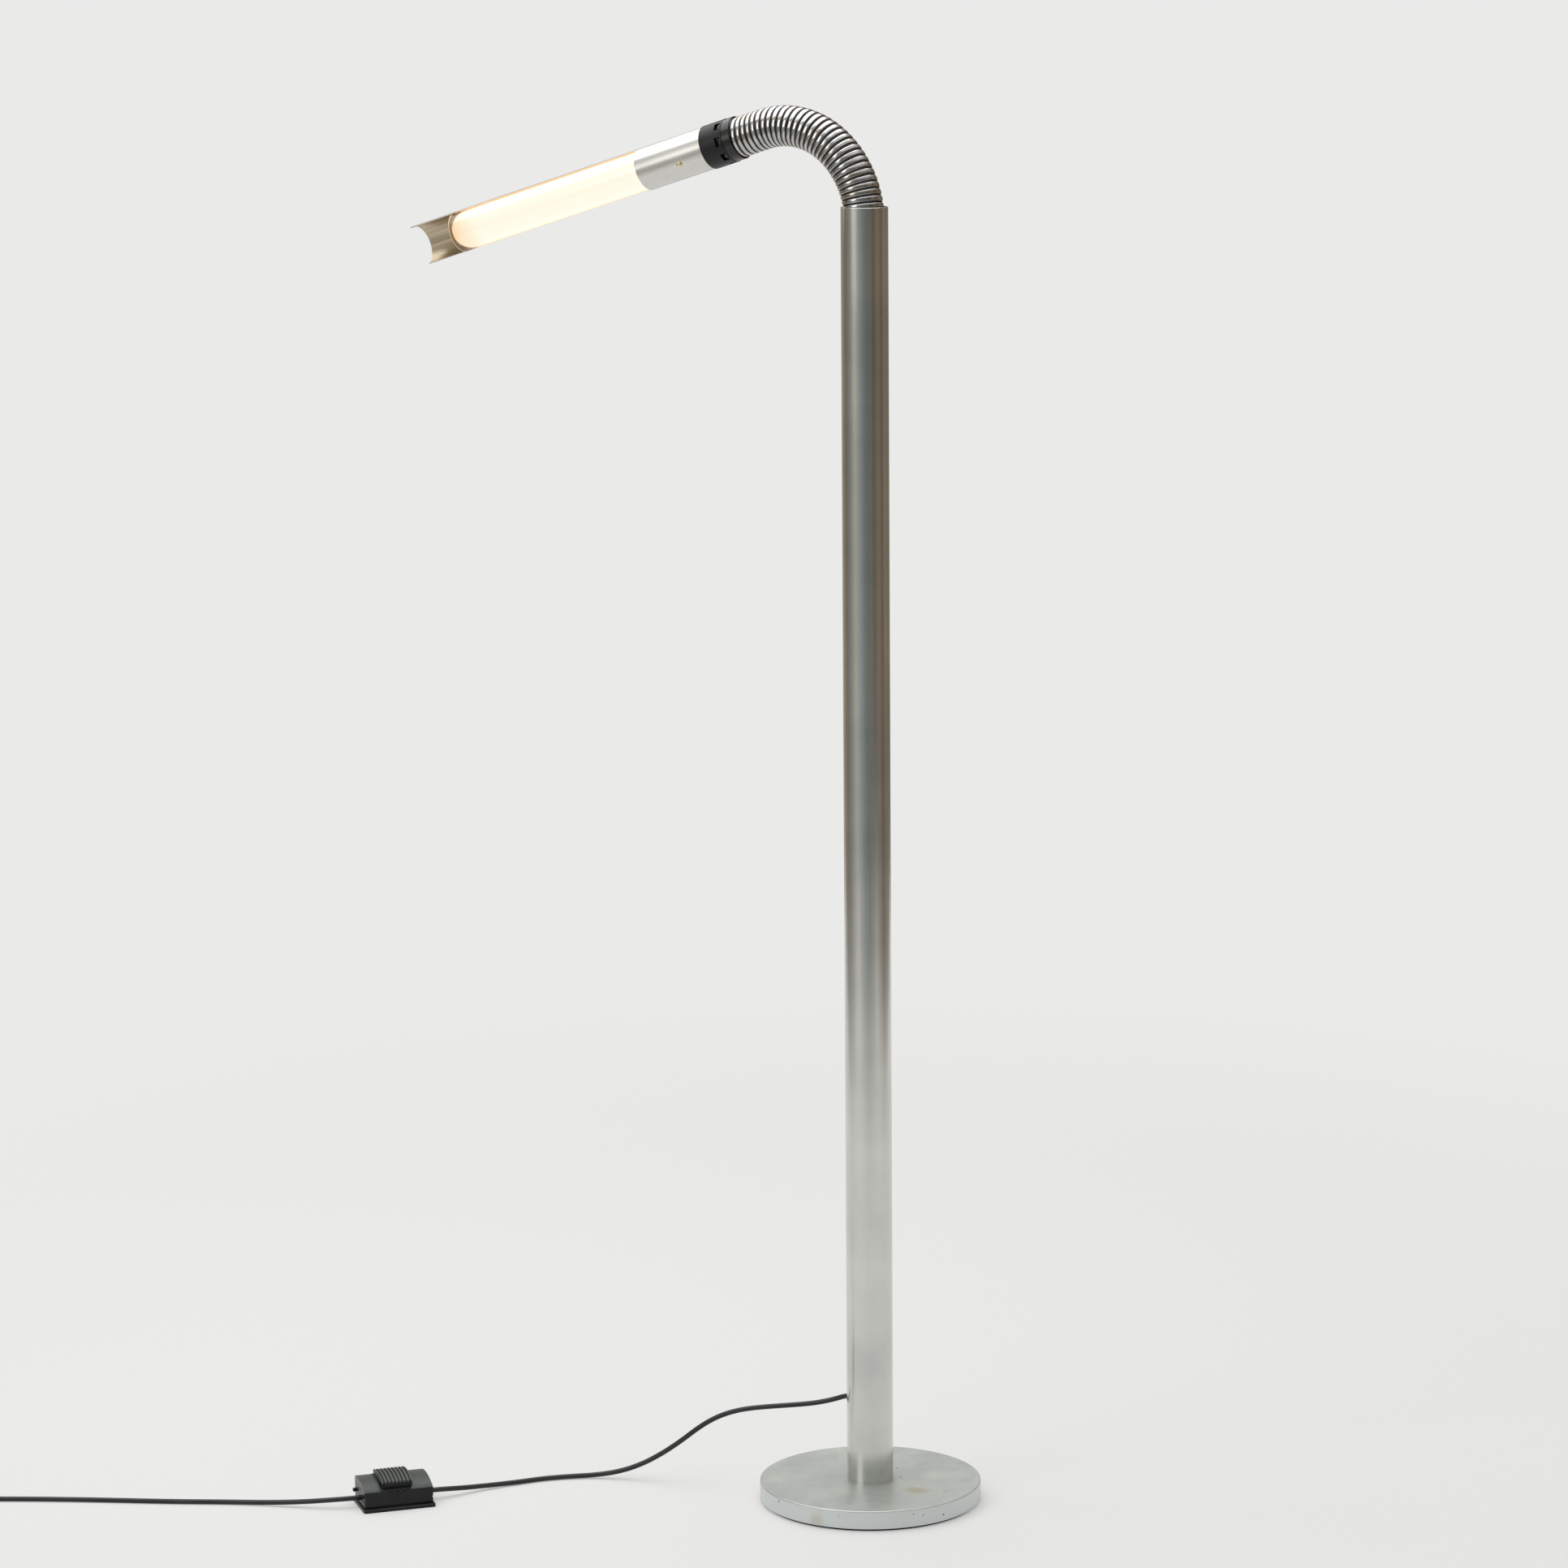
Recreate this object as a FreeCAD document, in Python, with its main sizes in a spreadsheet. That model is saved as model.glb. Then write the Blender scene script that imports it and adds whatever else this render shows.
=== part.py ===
import FreeCAD, Part

import math
import os

import Sketcher
from FreeCAD import Placement, Rotation, Vector

# Gooseneck reading floor lamp, in millimetres. The origin is on the floor under the middle of the base,
# +Z is up, the front looks along -Y and the lamp head reaches out to -X and a little to +Y.
os.makedirs("parts", exist_ok=True)
doc = FreeCAD.newDocument("ReadingLamp")
sheet = doc.addObject("Spreadsheet::Sheet", "Sizes")

driving_sizes = {
    # stand
    "base_dia": 240, "base_thick": 20, "base_round": 1.2, "pad_dia": 232, "pad_thick": 2.5,
    "pole_dia": 50, "pole_wall": 1.5, "pole_top": 1400, "spigot_tall": 45,
    "bolt_dia": 12, "bolt_key": 19, "bolt_head": 7.5, "washer_dia": 24, "washer_thick": 2.5,
    "exit_tall": 110, "exit_azimuth": 135, "exit_hole": 10,
    # neck
    "neck_azimuth": 152, "hose_dia": 43, "hose_groove": 40.8, "hose_bore": 39.8, "hose_pitch": 6.25,
    "bend_below_rim": 16, "lower_radius": 102, "lower_turn": 50, "upper_radius": 88, "upper_turn": 57,
    "root_turns": 4, "section_turns": 3, "tip_turns": 8, "ball_dia": 39, "ball_bore": 36.6,
    "bend_more": 0.3, "section_play": 0.15, "neck_seen": 207,
    # swivel collar
    "ring_dia": 46.4, "ring_long": 9.8, "journal_dia": 42, "collar_dia": 47.5, "collar_long": 28,
    "window_long": 6.6, "window_wide": 9.6, "snap_count": 8,
    # lamp head, measured from where the hose enters the collar
    "shade_dia": 46, "shade_wall": 1, "shade_start": 26, "sleeve_end": 121, "shade_end": 423,
    "shade_roll": 67, "screw_along": 68, "guard_dia": 43.7, "guard_wall": 1, "guard_end": 368,
    "bulb_dia": 41, "bulb_wall": 1, "bulb_end": 374, "bulb_long": 300, "holder_dia": 40,
    # foot switch and cord
    "switch_x": -518, "switch_y": -15, "switch_turn": 19, "switch_long": 80, "switch_deep": 55,
    "plate_thick": 4, "cover_long": 76, "cover_wall": 2, "cover_front": 21.5, "cover_back": 28.5,
    "pedal_long": 33.4, "pedal_rib": 4.1, "pedal_pin_dia": 3, "inlet_tall": 10.4,
    "cord_dia": 5.5, "coil_x": -1012, "coil_y": 31, "coil_radius": 36, "coil_step": 6, "coil_layer": 5.95,
    "plug_thick": 13.7, "plug_wide": 35.3, "plug_long": 34, "boot_long": 22, "plug_pin_long": 19,
}


class Dim:
    """A size that knows both its value and the sheet formula that gives it."""

    def __init__(self, value, text):
        self.value = value
        self.text = text

    def __float__(self):
        return float(self.value)

    def __add__(self, other):
        other = as_dim(other)
        return Dim(self.value + other.value, f"({self.text} + {other.text})")

    def __sub__(self, other):
        other = as_dim(other)
        return Dim(self.value - other.value, f"({self.text} - {other.text})")

    def __mul__(self, other):
        other = as_dim(other)
        return Dim(self.value * other.value, f"({self.text} * {other.text})")

    def __truediv__(self, other):
        other = as_dim(other)
        return Dim(self.value / other.value, f"({self.text} / {other.text})")

    def __neg__(self):
        return Dim(-self.value, f"(0 - {self.text})")

    __radd__ = __add__
    __rmul__ = __mul__


def as_dim(value):
    return value if isinstance(value, Dim) else Dim(float(value), f"({float(value)})")


def size(alias):
    return Dim(float(driving_sizes[alias]), f"Sizes.{alias}")


for row, (alias, value) in enumerate(driving_sizes.items(), start=1):
    sheet.set(f"A{row}", alias.replace("_", " "))
    sheet.set(f"B{row}", str(value))
    sheet.setAlias(f"B{row}", alias)
doc.recompute()

nodes = []


def keep(item, label, placement=None):
    """Names a finished sub-part and puts it in its place on the lamp."""
    item.Label = label
    if placement is not None:
        item.Placement = placement
    nodes.append(item)
    return item


def bind(item, prop, value):
    setattr(item, prop, float(value))
    item.setExpression(prop, as_dim(value).text)


# ---------------------------------------------------------------- sketches and features


def new_body(name):
    return doc.addObject("PartDesign::Body", name)


def sketch_on(body, role, lift=0):
    """A sketch on one of the body's own origin planes, lifted along the plane's normal."""
    sketch = body.newObject("Sketcher::SketchObject", body.Name + "Sketch")
    plane = [face for face in body.Origin.OriginFeatures if face.Role == role][0]
    sketch.AttachmentSupport = [(plane, "")]
    sketch.MapMode = "FlatFace"
    sketch.AttachmentOffset = Placement(Vector(0, 0, float(lift)), Rotation())
    return sketch


def pin_down(sketch, edge, end, kind, value):
    """Fixes one coordinate of a corner, on the axis itself where it is zero."""
    if abs(float(value)) < 1e-9:
        axis = -2 if kind == "DistanceX" else -1
        sketch.addConstraint(Sketcher.Constraint("PointOnObject", edge, end, axis))
        return
    index = sketch.addConstraint(Sketcher.Constraint(kind, -1, 1, edge, end, float(value)))
    sketch.setExpression(f"Constraints[{index}]", as_dim(value).text)


def outline(body, role, corners, lift=0):
    """A closed outline. A corner is (x, y), or (x, y, radius) where the edge that it starts is an arc:
    a positive radius turns left on the way to the next corner, a negative one right."""
    sketch = sketch_on(body, role, lift)
    ends = []
    for i, corner in enumerate(corners):
        following = corners[(i + 1) % len(corners)]
        here = Vector(float(corner[0]), float(corner[1]), 0)
        there = Vector(float(following[0]), float(following[1]), 0)
        if len(corner) == 2:
            sketch.addGeometry(Part.LineSegment(here, there), False)
            ends.append((1, 2))
            continue
        radius = float(corner[2])
        chord = there - here
        rise = math.sqrt(max(radius**2 - chord.Length**2 / 4, 0))
        left = Vector(-chord.y, chord.x, 0).normalize() * math.copysign(rise, radius)
        centre = (here + there) / 2 + left
        first, last = (here, there) if radius > 0 else (there, here)
        start = math.atan2(first.y - centre.y, first.x - centre.x)
        stop = math.atan2(last.y - centre.y, last.x - centre.x)
        if stop < start:
            stop += 2 * math.pi
        circle = Part.Circle(centre, Vector(0, 0, 1), abs(radius))
        edge = sketch.addGeometry(Part.ArcOfCircle(circle, start, stop), False)
        index = sketch.addConstraint(Sketcher.Constraint("Radius", edge, abs(radius)))
        wanted = corner[2] if radius > 0 else -as_dim(corner[2])
        sketch.setExpression(f"Constraints[{index}]", as_dim(wanted).text)
        ends.append((1, 2) if radius > 0 else (2, 1))
    for i in range(len(corners)):
        after = (i + 1) % len(corners)
        sketch.addConstraint(Sketcher.Constraint("Coincident", i, ends[i][1], after, ends[after][0]))
    for i, corner in enumerate(corners):
        pin_down(sketch, i, ends[i][0], "DistanceX", corner[0])
        pin_down(sketch, i, ends[i][0], "DistanceY", corner[1])
    return sketch


def box_outline(body, role, left, right, low, high, lift=0):
    return outline(body, role, [(left, low), (right, low), (right, high), (left, high)], lift)


def circles(body, role, spots, radius, lift=0):
    """A sketch with one circle of the same radius at each spot."""
    sketch = sketch_on(body, role, lift)
    for i, (x, y) in enumerate(spots):
        centre = Vector(float(x), float(y), 0)
        sketch.addGeometry(Part.Circle(centre, Vector(0, 0, 1), float(radius)), False)
        index = sketch.addConstraint(Sketcher.Constraint("Radius", i, float(radius)))
        sketch.setExpression(f"Constraints[{index}]", as_dim(radius).text)
        pin_down(sketch, i, 3, "DistanceX", x)
        pin_down(sketch, i, 3, "DistanceY", y)
    return sketch


def feature(body, kind, sketch, length=None, backwards=False):
    """A Pad, Pocket or Revolution of a sketch, added to the body."""
    made = body.newObject("PartDesign::" + kind, body.Name + kind)
    made.Profile = sketch
    if kind == "Revolution":
        made.ReferenceAxis = (sketch, ["V_Axis"])
        made.Angle = 360
    elif length is None:
        made.Type = "ThroughAll"
    else:
        bind(made, "Length", length)
    made.Reversed = backwards
    sketch.Visibility = False
    doc.recompute()
    return made


def cut(body, sketch, length=None, backwards=False):
    """A Pocket that must take material away."""
    before = body.Shape.Volume
    made = feature(body, "Pocket", sketch, length, backwards)
    if body.Shape.Volume > before - 0.01:
        raise RuntimeError(f"the pocket in {body.Name} cuts nothing")
    return made


def turned(label, corners, placement=None):
    """A piece turned about its own Z axis from an outline of (radius, height) corners."""
    body = new_body(label)
    feature(body, "Revolution", outline(body, "XZ_Plane", corners))
    return keep(body, label, placement)


def around(body, features, count):
    pattern = body.newObject("PartDesign::PolarPattern", body.Name + "Around")
    pattern.Originals = features
    axis = [line for line in body.Origin.OriginFeatures if line.Role == "Z_Axis"][0]
    pattern.Axis = (axis, [""])
    pattern.Angle = 360
    pattern.Occurrences = int(count)
    body.Tip = pattern
    doc.recompute()
    return pattern


def primitive(kind, name, place, **sizes):
    item = doc.addObject("Part::" + kind, name)
    for prop, value in sizes.items():
        if prop == "Polygon":
            item.Polygon = value
        else:
            bind(item, prop, value)
    item.Placement = place
    return item


def joined(label, items, placement=None):
    fuse = doc.addObject("Part::MultiFuse", label)
    fuse.Shapes = items
    return keep(fuse, label, placement)


def solid(label, shape, placement=None):
    item = doc.addObject("Part::Feature", label)
    item.Shape = shape
    return keep(item, label, placement)


# ---------------------------------------------------------------- where things are


def turn(axis, degrees, at=Vector(0, 0, 0)):
    return Placement(at, Rotation(axis, float(degrees)))


up = Vector(0, 0, 1)
along_x = Vector(1, 0, 0)
along_y = Vector(0, 1, 0)

pole_outer = size("pole_dia") / 2
pole_inner = pole_outer - size("pole_wall")
base_top = size("pad_thick") + size("base_thick")
neck_plane = turn(up, size("neck_azimuth"))
bend_start = float(size("pole_top") - size("bend_below_rim"))


def neck_state(along):
    """Place and lean (radians from upright) of the hose's middle line, in the plane that the neck bends in.
    It rises straight out of its socket, bends on the lower radius, then on the tighter upper radius, and
    runs straight into the collar."""
    low_radius, high_radius = float(size("lower_radius")), float(size("upper_radius"))
    low_turn = math.radians(float(size("lower_turn")))
    high_turn = math.radians(float(size("upper_turn")))
    place = Vector(0, 0, bend_start)
    if along <= 0:
        return place + Vector(0, 0, along), 0.0
    lean = min(along / low_radius, low_turn)
    place += Vector(1 - math.cos(lean), 0, math.sin(lean)) * low_radius
    along -= lean * low_radius
    more = min(along / high_radius, high_turn)
    place += Vector(math.cos(lean) - math.cos(lean + more), 0, math.sin(lean + more) - math.sin(lean)) * high_radius
    along -= more * high_radius
    lean += more
    return place + Vector(math.sin(lean), 0, math.cos(lean)) * along, lean


def neck_frame(along):
    """A frame on the hose's middle line: Z along the hose, X to the inside of the bend."""
    place, lean = neck_state(along)
    return Placement(place, Rotation(along_y, math.degrees(lean)))


head_frame = neck_plane * neck_frame(float(size("neck_seen")))
shade_frame = head_frame * turn(up, size("shade_roll"))
exit_frame = turn(up, size("exit_azimuth"))
switch_frame = turn(up, size("switch_turn"), Vector(float(size("switch_x")), float(size("switch_y")), 0))

# ---------------------------------------------------------------- base and pole

recess = size("washer_thick") + size("bolt_head") + 1
recess_top = size("pad_thick") + recess
bolt_radius = size("bolt_dia") / 2
base_radius = size("base_dia") / 2
edge = size("base_round")

base_disc = turned(
    "base_disc",
    [
        (bolt_radius + 0.5, recess_top),
        (bolt_radius + 3, recess_top),
        (size("washer_dia") / 2 + 3, recess_top),
        (size("washer_dia") / 2 + 3, size("pad_thick")),
        (base_radius - edge, size("pad_thick"), edge),
        (base_radius, size("pad_thick") + edge),
        (base_radius, base_top - edge, edge),
        (base_radius - edge, base_top),
        (bolt_radius + 0.5, base_top),
    ],
)
base_pad = turned(
    "base_pad",
    [(0, 0), (size("pad_dia") / 2, 0), (size("pad_dia") / 2, size("pad_thick")), (0, size("pad_thick"))],
)
turned(
    "pole_spigot",
    [
        (bolt_radius + 0.05, base_top),
        (pole_inner - 0.05, base_top),
        (pole_inner - 0.05, base_top + size("spigot_tall") - 1.5),
        (pole_inner - 1.5, base_top + size("spigot_tall")),
        (bolt_radius + 0.05, base_top + size("spigot_tall")),
    ],
)
washer_low = recess_top - size("washer_thick")
turned(
    "base_washer",
    [
        (bolt_radius + 0.4, washer_low),
        (size("washer_dia") / 2, washer_low),
        (size("washer_dia") / 2, recess_top),
        (bolt_radius + 0.4, recess_top),
    ],
)
head_low = washer_low - size("bolt_head")
bolt_head = primitive(
    "Prism",
    "BoltHead",
    Placement(Vector(0, 0, float(head_low)), Rotation()),
    Polygon=6,
    Circumradius=size("bolt_key") / 1.732,
    Height=size("bolt_head"),
)
bolt_shank = primitive(
    "Cylinder",
    "BoltShank",
    Placement(Vector(0, 0, float(washer_low)), Rotation()),
    Radius=bolt_radius,
    Height=size("spigot_tall") - 5,
)
joined("base_bolt", [bolt_head, bolt_shank])

screw_tall = size("pole_top") - 37
pole = turned(
    "pole",
    [
        (pole_inner, base_top),
        (pole_outer, base_top),
        (pole_outer, size("pole_top") - 0.3),
        (pole_outer - 0.3, size("pole_top")),
        (pole_inner, size("pole_top")),
    ],
    exit_frame,
)
cut(pole, circles(pole, "YZ_Plane", [(0, size("exit_tall"))], size("exit_hole") / 2), None, True)
cut(pole, circles(pole, "YZ_Plane", [(0, screw_tall)], 2), None, True)

cord_radius = size("cord_dia") / 2
grommet_out = pole_outer + 2
turned(
    "cord_grommet",
    [
        (cord_radius + 0.05, pole_inner - 3.6),
        (6.5, pole_inner - 3.6),
        (6.5, pole_inner - 1.6),
        (size("exit_hole") / 2 - 0.1, pole_inner - 1.6),
        (size("exit_hole") / 2 - 0.1, pole_outer + 0.05),
        (6.8, pole_outer + 0.05),
        (6.8, grommet_out - 1, 1),
        (5.8, grommet_out),
        (cord_radius + 0.05, grommet_out),
    ],
    exit_frame * turn(along_y, 90, Vector(0, 0, float(size("exit_tall")))),
)

# ---------------------------------------------------------------- neck

pitch = float(size("hose_pitch"))
socket_depth = 6
root_start = float(size("bend_below_rim")) - pitch * float(size("root_turns"))
anchor_seat = bend_start + root_start

turned(
    "neck_anchor",
    [
        (6.5, anchor_seat - 22),
        (pole_inner - 0.06, anchor_seat - 22),
        (pole_inner - 0.06, screw_tall - 2.6),
        (pole_inner - 1.4, screw_tall - 1.3),
        (pole_inner - 1.4, screw_tall + 1.3),
        (pole_inner - 0.06, screw_tall + 2.6),
        (pole_inner - 0.06, anchor_seat + socket_depth),
        (size("hose_dia") / 2 + 0.1, anchor_seat + socket_depth),
        (size("hose_dia") / 2 + 0.1, anchor_seat),
        (6.5, anchor_seat),
    ],
    neck_plane,
)
turned(
    "neck_set_screw",
    [(0, pole_inner - 1), (1, pole_inner - 1), (1.95, pole_inner - 0.1), (1.95, pole_outer - 0.2), (0, pole_outer - 0.2)],
    exit_frame * turn(along_y, 90, Vector(0, 0, float(screw_tall))),
)


def ring_at(along, radius):
    """A circle square to the hose whose seam keeps the same side all along the bend."""
    frame = neck_frame(along)
    circle = Part.Circle(Vector(0, 0, 0), Vector(0, 0, 1), radius)
    edge = circle.toShape()
    edge.Placement = frame
    return Part.Wire([edge])


def ribbed(start, turns):
    """Stripwound hose: each turn is a flat crown between two grooves, and the wall is open inside."""
    crown, groove, bore = float(size("hose_dia")) / 2, float(size("hose_groove")) / 2, float(size("hose_bore")) / 2
    outer = [ring_at(start, groove)]
    inner = [ring_at(start - 1, bore)]
    for k in range(turns):
        base = start + k * pitch
        outer.append(ring_at(base + 0.16 * pitch, crown))
        outer.append(ring_at(base + 0.84 * pitch, crown))
        outer.append(ring_at(base + pitch, groove))
        inner.append(ring_at(base + pitch / 2, bore))
    inner.append(ring_at(start + turns * pitch + 1, bore))
    wall = Part.makeLoft(outer, True, True)
    return wall.cut(Part.makeLoft(inner, True, True))


def parting_wedge(along, straighten, bend_on):
    """The space between two hose sections: it opens from the pivot line to the outside of the bend by the
    angle that straightens the joint, and to the inside by the angle that it can still bend."""
    reach = float(size("hose_dia"))
    play = float(size("section_play"))
    outer = reach * math.tan(straighten / 2) + play
    inner = reach * math.tan(bend_on / 2) + play
    corners = [(-reach, outer), (0, play), (reach, inner), (reach, -inner), (0, -play), (-reach, -outer)]
    points = [Vector(x, -reach, z) for x, z in corners]
    face = Part.Face(Part.makePolygon(points + points[:1]))
    wedge = face.extrude(Vector(0, 2 * reach, 0))
    wedge.Placement = neck_frame(along)
    return wedge


def ball_collar(along):
    """The rounded collar in the lower end of a section, which turns inside the section below it."""
    ball, bore = float(size("ball_dia")) / 2, float(size("ball_bore")) / 2
    wall = float(size("hose_bore")) / 2 + 0.2
    low, high, top = -5.0, 3.4, 6.4
    rim_low = math.sqrt(ball**2 - low**2)
    rim_high = math.sqrt(ball**2 - high**2)
    crest = Part.Arc(Vector(rim_low, 0, low), Vector(ball, 0, 0), Vector(rim_high, 0, high)).toShape()
    rest = Part.makePolygon(
        [
            Vector(rim_high, 0, high),
            Vector(wall, 0, high),
            Vector(wall, 0, top),
            Vector(bore, 0, top),
            Vector(bore, 0, low),
            Vector(rim_low, 0, low),
        ]
    )
    profile = Part.Face(Part.Wire([crest] + rest.Edges))
    collar = profile.revolve(Vector(0, 0, 0), up, 360)
    collar.Placement = neck_frame(along)
    return collar


section = pitch * int(float(size("section_turns")))
joint_count = 9
joint_spots = [float(size("bend_below_rim")) + k * section for k in range(joint_count)]
tip_end = joint_spots[-1] + pitch * int(float(size("tip_turns")))
middles = [0.0]
middles += [(a + b) / 2 for a, b in zip(joint_spots[:-1], joint_spots[1:])]
middles.append(tip_end)
leans = [neck_state(spot)[1] for spot in middles]
straighten = [leans[k + 1] - leans[k] for k in range(joint_count)]
bend_on = [float(size("bend_more")) * angle for angle in straighten]
wedges = [parting_wedge(joint_spots[k], straighten[k], bend_on[k]) for k in range(joint_count)]

starts = [root_start] + joint_spots
turn_counts = [int(float(size("root_turns")))]
turn_counts += [int(float(size("section_turns")))] * (joint_count - 1)
turn_counts.append(int(float(size("tip_turns"))))
for k, (start, turns) in enumerate(zip(starts, turn_counts)):
    hose = ribbed(start, turns)
    if k < joint_count:
        hose = hose.cut(wedges[k])
    if k > 0:
        hose = hose.cut(wedges[k - 1]).fuse(ball_collar(start))
    solid(f"hose_section_{k}", hose.removeSplitter(), neck_plane)

for k in range(joint_count):
    pivot = neck_plane.multVec(neck_state(joint_spots[k])[0])
    print(
        f"neck joint {k + 1}: at {pivot.x:.2f} {pivot.y:.2f} {pivot.z:.2f},"
        f" straightens {math.degrees(straighten[k]):.2f}, bends on {math.degrees(bend_on[k]):.2f}"
    )
hinge_axis = neck_plane.multVec(along_y)
print(f"neck hinge axis {hinge_axis.x:.6f} {hinge_axis.y:.6f} {hinge_axis.z:.6f}")
head_axis = head_frame.Rotation.multVec(up)
print(f"head starts at {head_frame.Base}, runs along {head_axis}")

# ---------------------------------------------------------------- swivel collar

ring_end = size("ring_long")
journal = size("journal_dia") / 2
hose_seat = tip_end - float(size("neck_seen"))
collar_start = ring_end + 0.3
collar_end = collar_start + size("collar_long") - 0.1
groove_low = collar_start + 1.5
groove_high = groove_low + size("window_long") + 0.6
journal_end = 24

hose_ring = turned(
    "hose_ring",
    [
        (size("hose_dia") / 2 + 0.1, 0),
        (size("ring_dia") / 2 - 0.6, 0, 0.6),
        (size("ring_dia") / 2, 0.6),
        (size("ring_dia") / 2, ring_end),
        (journal, ring_end),
        (journal, journal_end),
        (journal - 2.2, journal_end),
        (journal - 2.2, hose_seat + 2),
        (8, hose_seat + 2),
        (8, hose_seat + 0.1),
        (size("hose_dia") / 2 + 0.1, hose_seat + 0.1),
    ],
    head_frame,
)
finger = outline(
    hose_ring,
    "XZ_Plane",
    [
        (journal - 0.5, groove_low + 0.4),
        (journal + 1.55, groove_low + 0.4),
        (journal + 1.55, groove_low + 2.6),
        (journal + 0.2, groove_high - 0.5),
        (journal - 0.5, groove_high - 0.5),
    ],
    -2.8,
)
snap_finger = feature(hose_ring, "Pad", finger, 5.6)
around(hose_ring, [snap_finger], float(size("snap_count")))

collar_outer = size("collar_dia") / 2
tube_socket = size("shade_dia") / 2 + 0.05
lip = 0.65
swivel_collar = turned(
    "swivel_collar",
    [
        (journal + 0.3, collar_start),
        (collar_outer - 0.4, collar_start),
        (collar_outer, collar_start + 0.4),
        (collar_outer, collar_end - lip, lip),
        (collar_outer - lip, collar_end),
        (tube_socket, collar_end),
        (tube_socket, size("shade_start") - 0.05),
        (journal - 1, size("shade_start") - 0.05),
        (journal - 1, journal_end + 0.4),
        (journal + 0.3, journal_end + 0.4),
        (journal + 0.3, groove_high),
        (journal + 1.9, groove_high),
        (journal + 1.9, groove_low),
        (journal + 0.3, groove_low),
    ],
    head_frame,
)
window = box_outline(
    swivel_collar,
    "XZ_Plane",
    journal + 1,
    collar_outer + 1,
    groove_low + 0.3,
    groove_high - 0.3,
    -size("window_wide") / 2,
)
window_cut = cut(swivel_collar, window, size("window_wide"), True)
around(swivel_collar, [window_cut], float(size("snap_count")))

# ---------------------------------------------------------------- lamp head

shade_outer = size("shade_dia") / 2
shade_inner = shade_outer - size("shade_wall")
shade = turned(
    "shade",
    [
        (shade_inner, size("shade_start")),
        (shade_outer, size("shade_start")),
        (shade_outer, size("shade_end")),
        (shade_inner, size("shade_end")),
    ],
    shade_frame,
)
mouth = box_outline(
    shade, "XZ_Plane", 0, shade_outer + 5, size("sleeve_end"), size("shade_end") + 5, -(shade_outer + 5)
)
cut(shade, mouth, shade_outer * 2 + 10, True)
cut(shade, circles(shade, "YZ_Plane", [(0, size("screw_along"))], 1.6), None, True)

contact_face = size("bulb_end") - size("bulb_long")
cap_start = contact_face + 4
cap_end = contact_face + 27.5
holder_low = contact_face - 27.4
holder_high = cap_end - 2.5
holder_bore = 14.8
holder_outer = size("holder_dia") / 2
strap_inner = shade_inner - 1.6

bracket = turned(
    "holder_bracket",
    [
        (5.2, holder_low - 1.5),
        (shade_inner - 0.1, holder_low - 1.5),
        (shade_inner - 0.1, holder_low),
        (5.2, holder_low),
    ],
    shade_frame,
)
strap_half = 5.5
strap_out = math.sqrt(float(shade_inner - 0.1) ** 2 - strap_half**2)
strap_in = math.sqrt(float(strap_inner) ** 2 - strap_half**2)
strap = outline(
    bracket,
    "XY_Plane",
    [
        (strap_in, -strap_half),
        (strap_out, -strap_half, shade_inner - 0.1),
        (strap_out, strap_half),
        (strap_in, strap_half, -strap_inner),
    ],
    holder_low - 1.5,
)
feature(bracket, "Pad", strap, size("screw_along") + 7 - (holder_low - 1.5))
cut(bracket, circles(bracket, "YZ_Plane", [(0, size("screw_along"))], 1.55), None, True)

turned(
    "lamp_holder",
    [
        (5, holder_low),
        (holder_outer - 1, holder_low),
        (holder_outer, holder_low + 1),
        (holder_outer, holder_high - 1.5, 1.5),
        (holder_outer - 1.5, holder_high),
        (holder_bore, holder_high),
        (holder_bore, contact_face - 3),
        (5, contact_face - 3),
    ],
    shade_frame,
)
turned(
    "holder_nipple",
    [(3.6, holder_low - 8), (4.95, holder_low - 8), (4.95, holder_low + 9), (3.6, holder_low + 9)],
    shade_frame,
)
nut_body = primitive(
    "Prism",
    "NutBlank",
    Placement(Vector(0, 0, float(holder_low - 4.5)), Rotation()),
    Polygon=6,
    Circumradius=8.08,
    Height=3,
)
nut_bore = primitive(
    "Cylinder", "NutBore", Placement(Vector(0, 0, float(holder_low - 5)), Rotation()), Radius=5, Height=4
)
nut = doc.addObject("Part::Cut", "holder_nut")
nut.Base = nut_body
nut.Tool = nut_bore
keep(nut, "holder_nut", shade_frame)

turned(
    "holder_thread",
    [
        (13.4, contact_face - 3),
        (holder_bore, contact_face - 3),
        (holder_bore, holder_high - 2),
        (13.4, holder_high - 2),
    ],
    shade_frame,
)
turned(
    "holder_contact",
    [(0, contact_face - 3), (4.5, contact_face - 3), (4.5, contact_face - 2), (2, contact_face), (0, contact_face)],
    shade_frame,
)
turned(
    "holder_screw",
    [
        (0, strap_inner - 0.1),
        (1.5, strap_inner - 0.1),
        (1.5, shade_outer + 0.05),
        (3, shade_outer + 0.05),
        (3, shade_outer + 0.8, 4.35),
        (0, shade_outer + 2),
    ],
    shade_frame * turn(along_y, 90, Vector(0, 0, float(size("screw_along")))),
)
turned(
    "bulb_contact",
    [
        (0, contact_face),
        (4.5, contact_face),
        (5.5, contact_face + 1),
        (10.4, cap_start),
        (0, cap_start),
    ],
    shade_frame,
)
turned(
    "bulb_cap",
    [
        (0, cap_start),
        (10.4, cap_start),
        (13.3, cap_start + 2),
        (13.3, cap_end),
        (12.5, cap_end),
        (12.5, cap_start + 2.4),
        (10, cap_start + 0.8),
        (0, cap_start + 0.8),
    ],
    shade_frame,
)
bulb_outer = size("bulb_dia") / 2
bulb_inner = bulb_outer - size("bulb_wall")
dome = size("bulb_end") - bulb_outer
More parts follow.
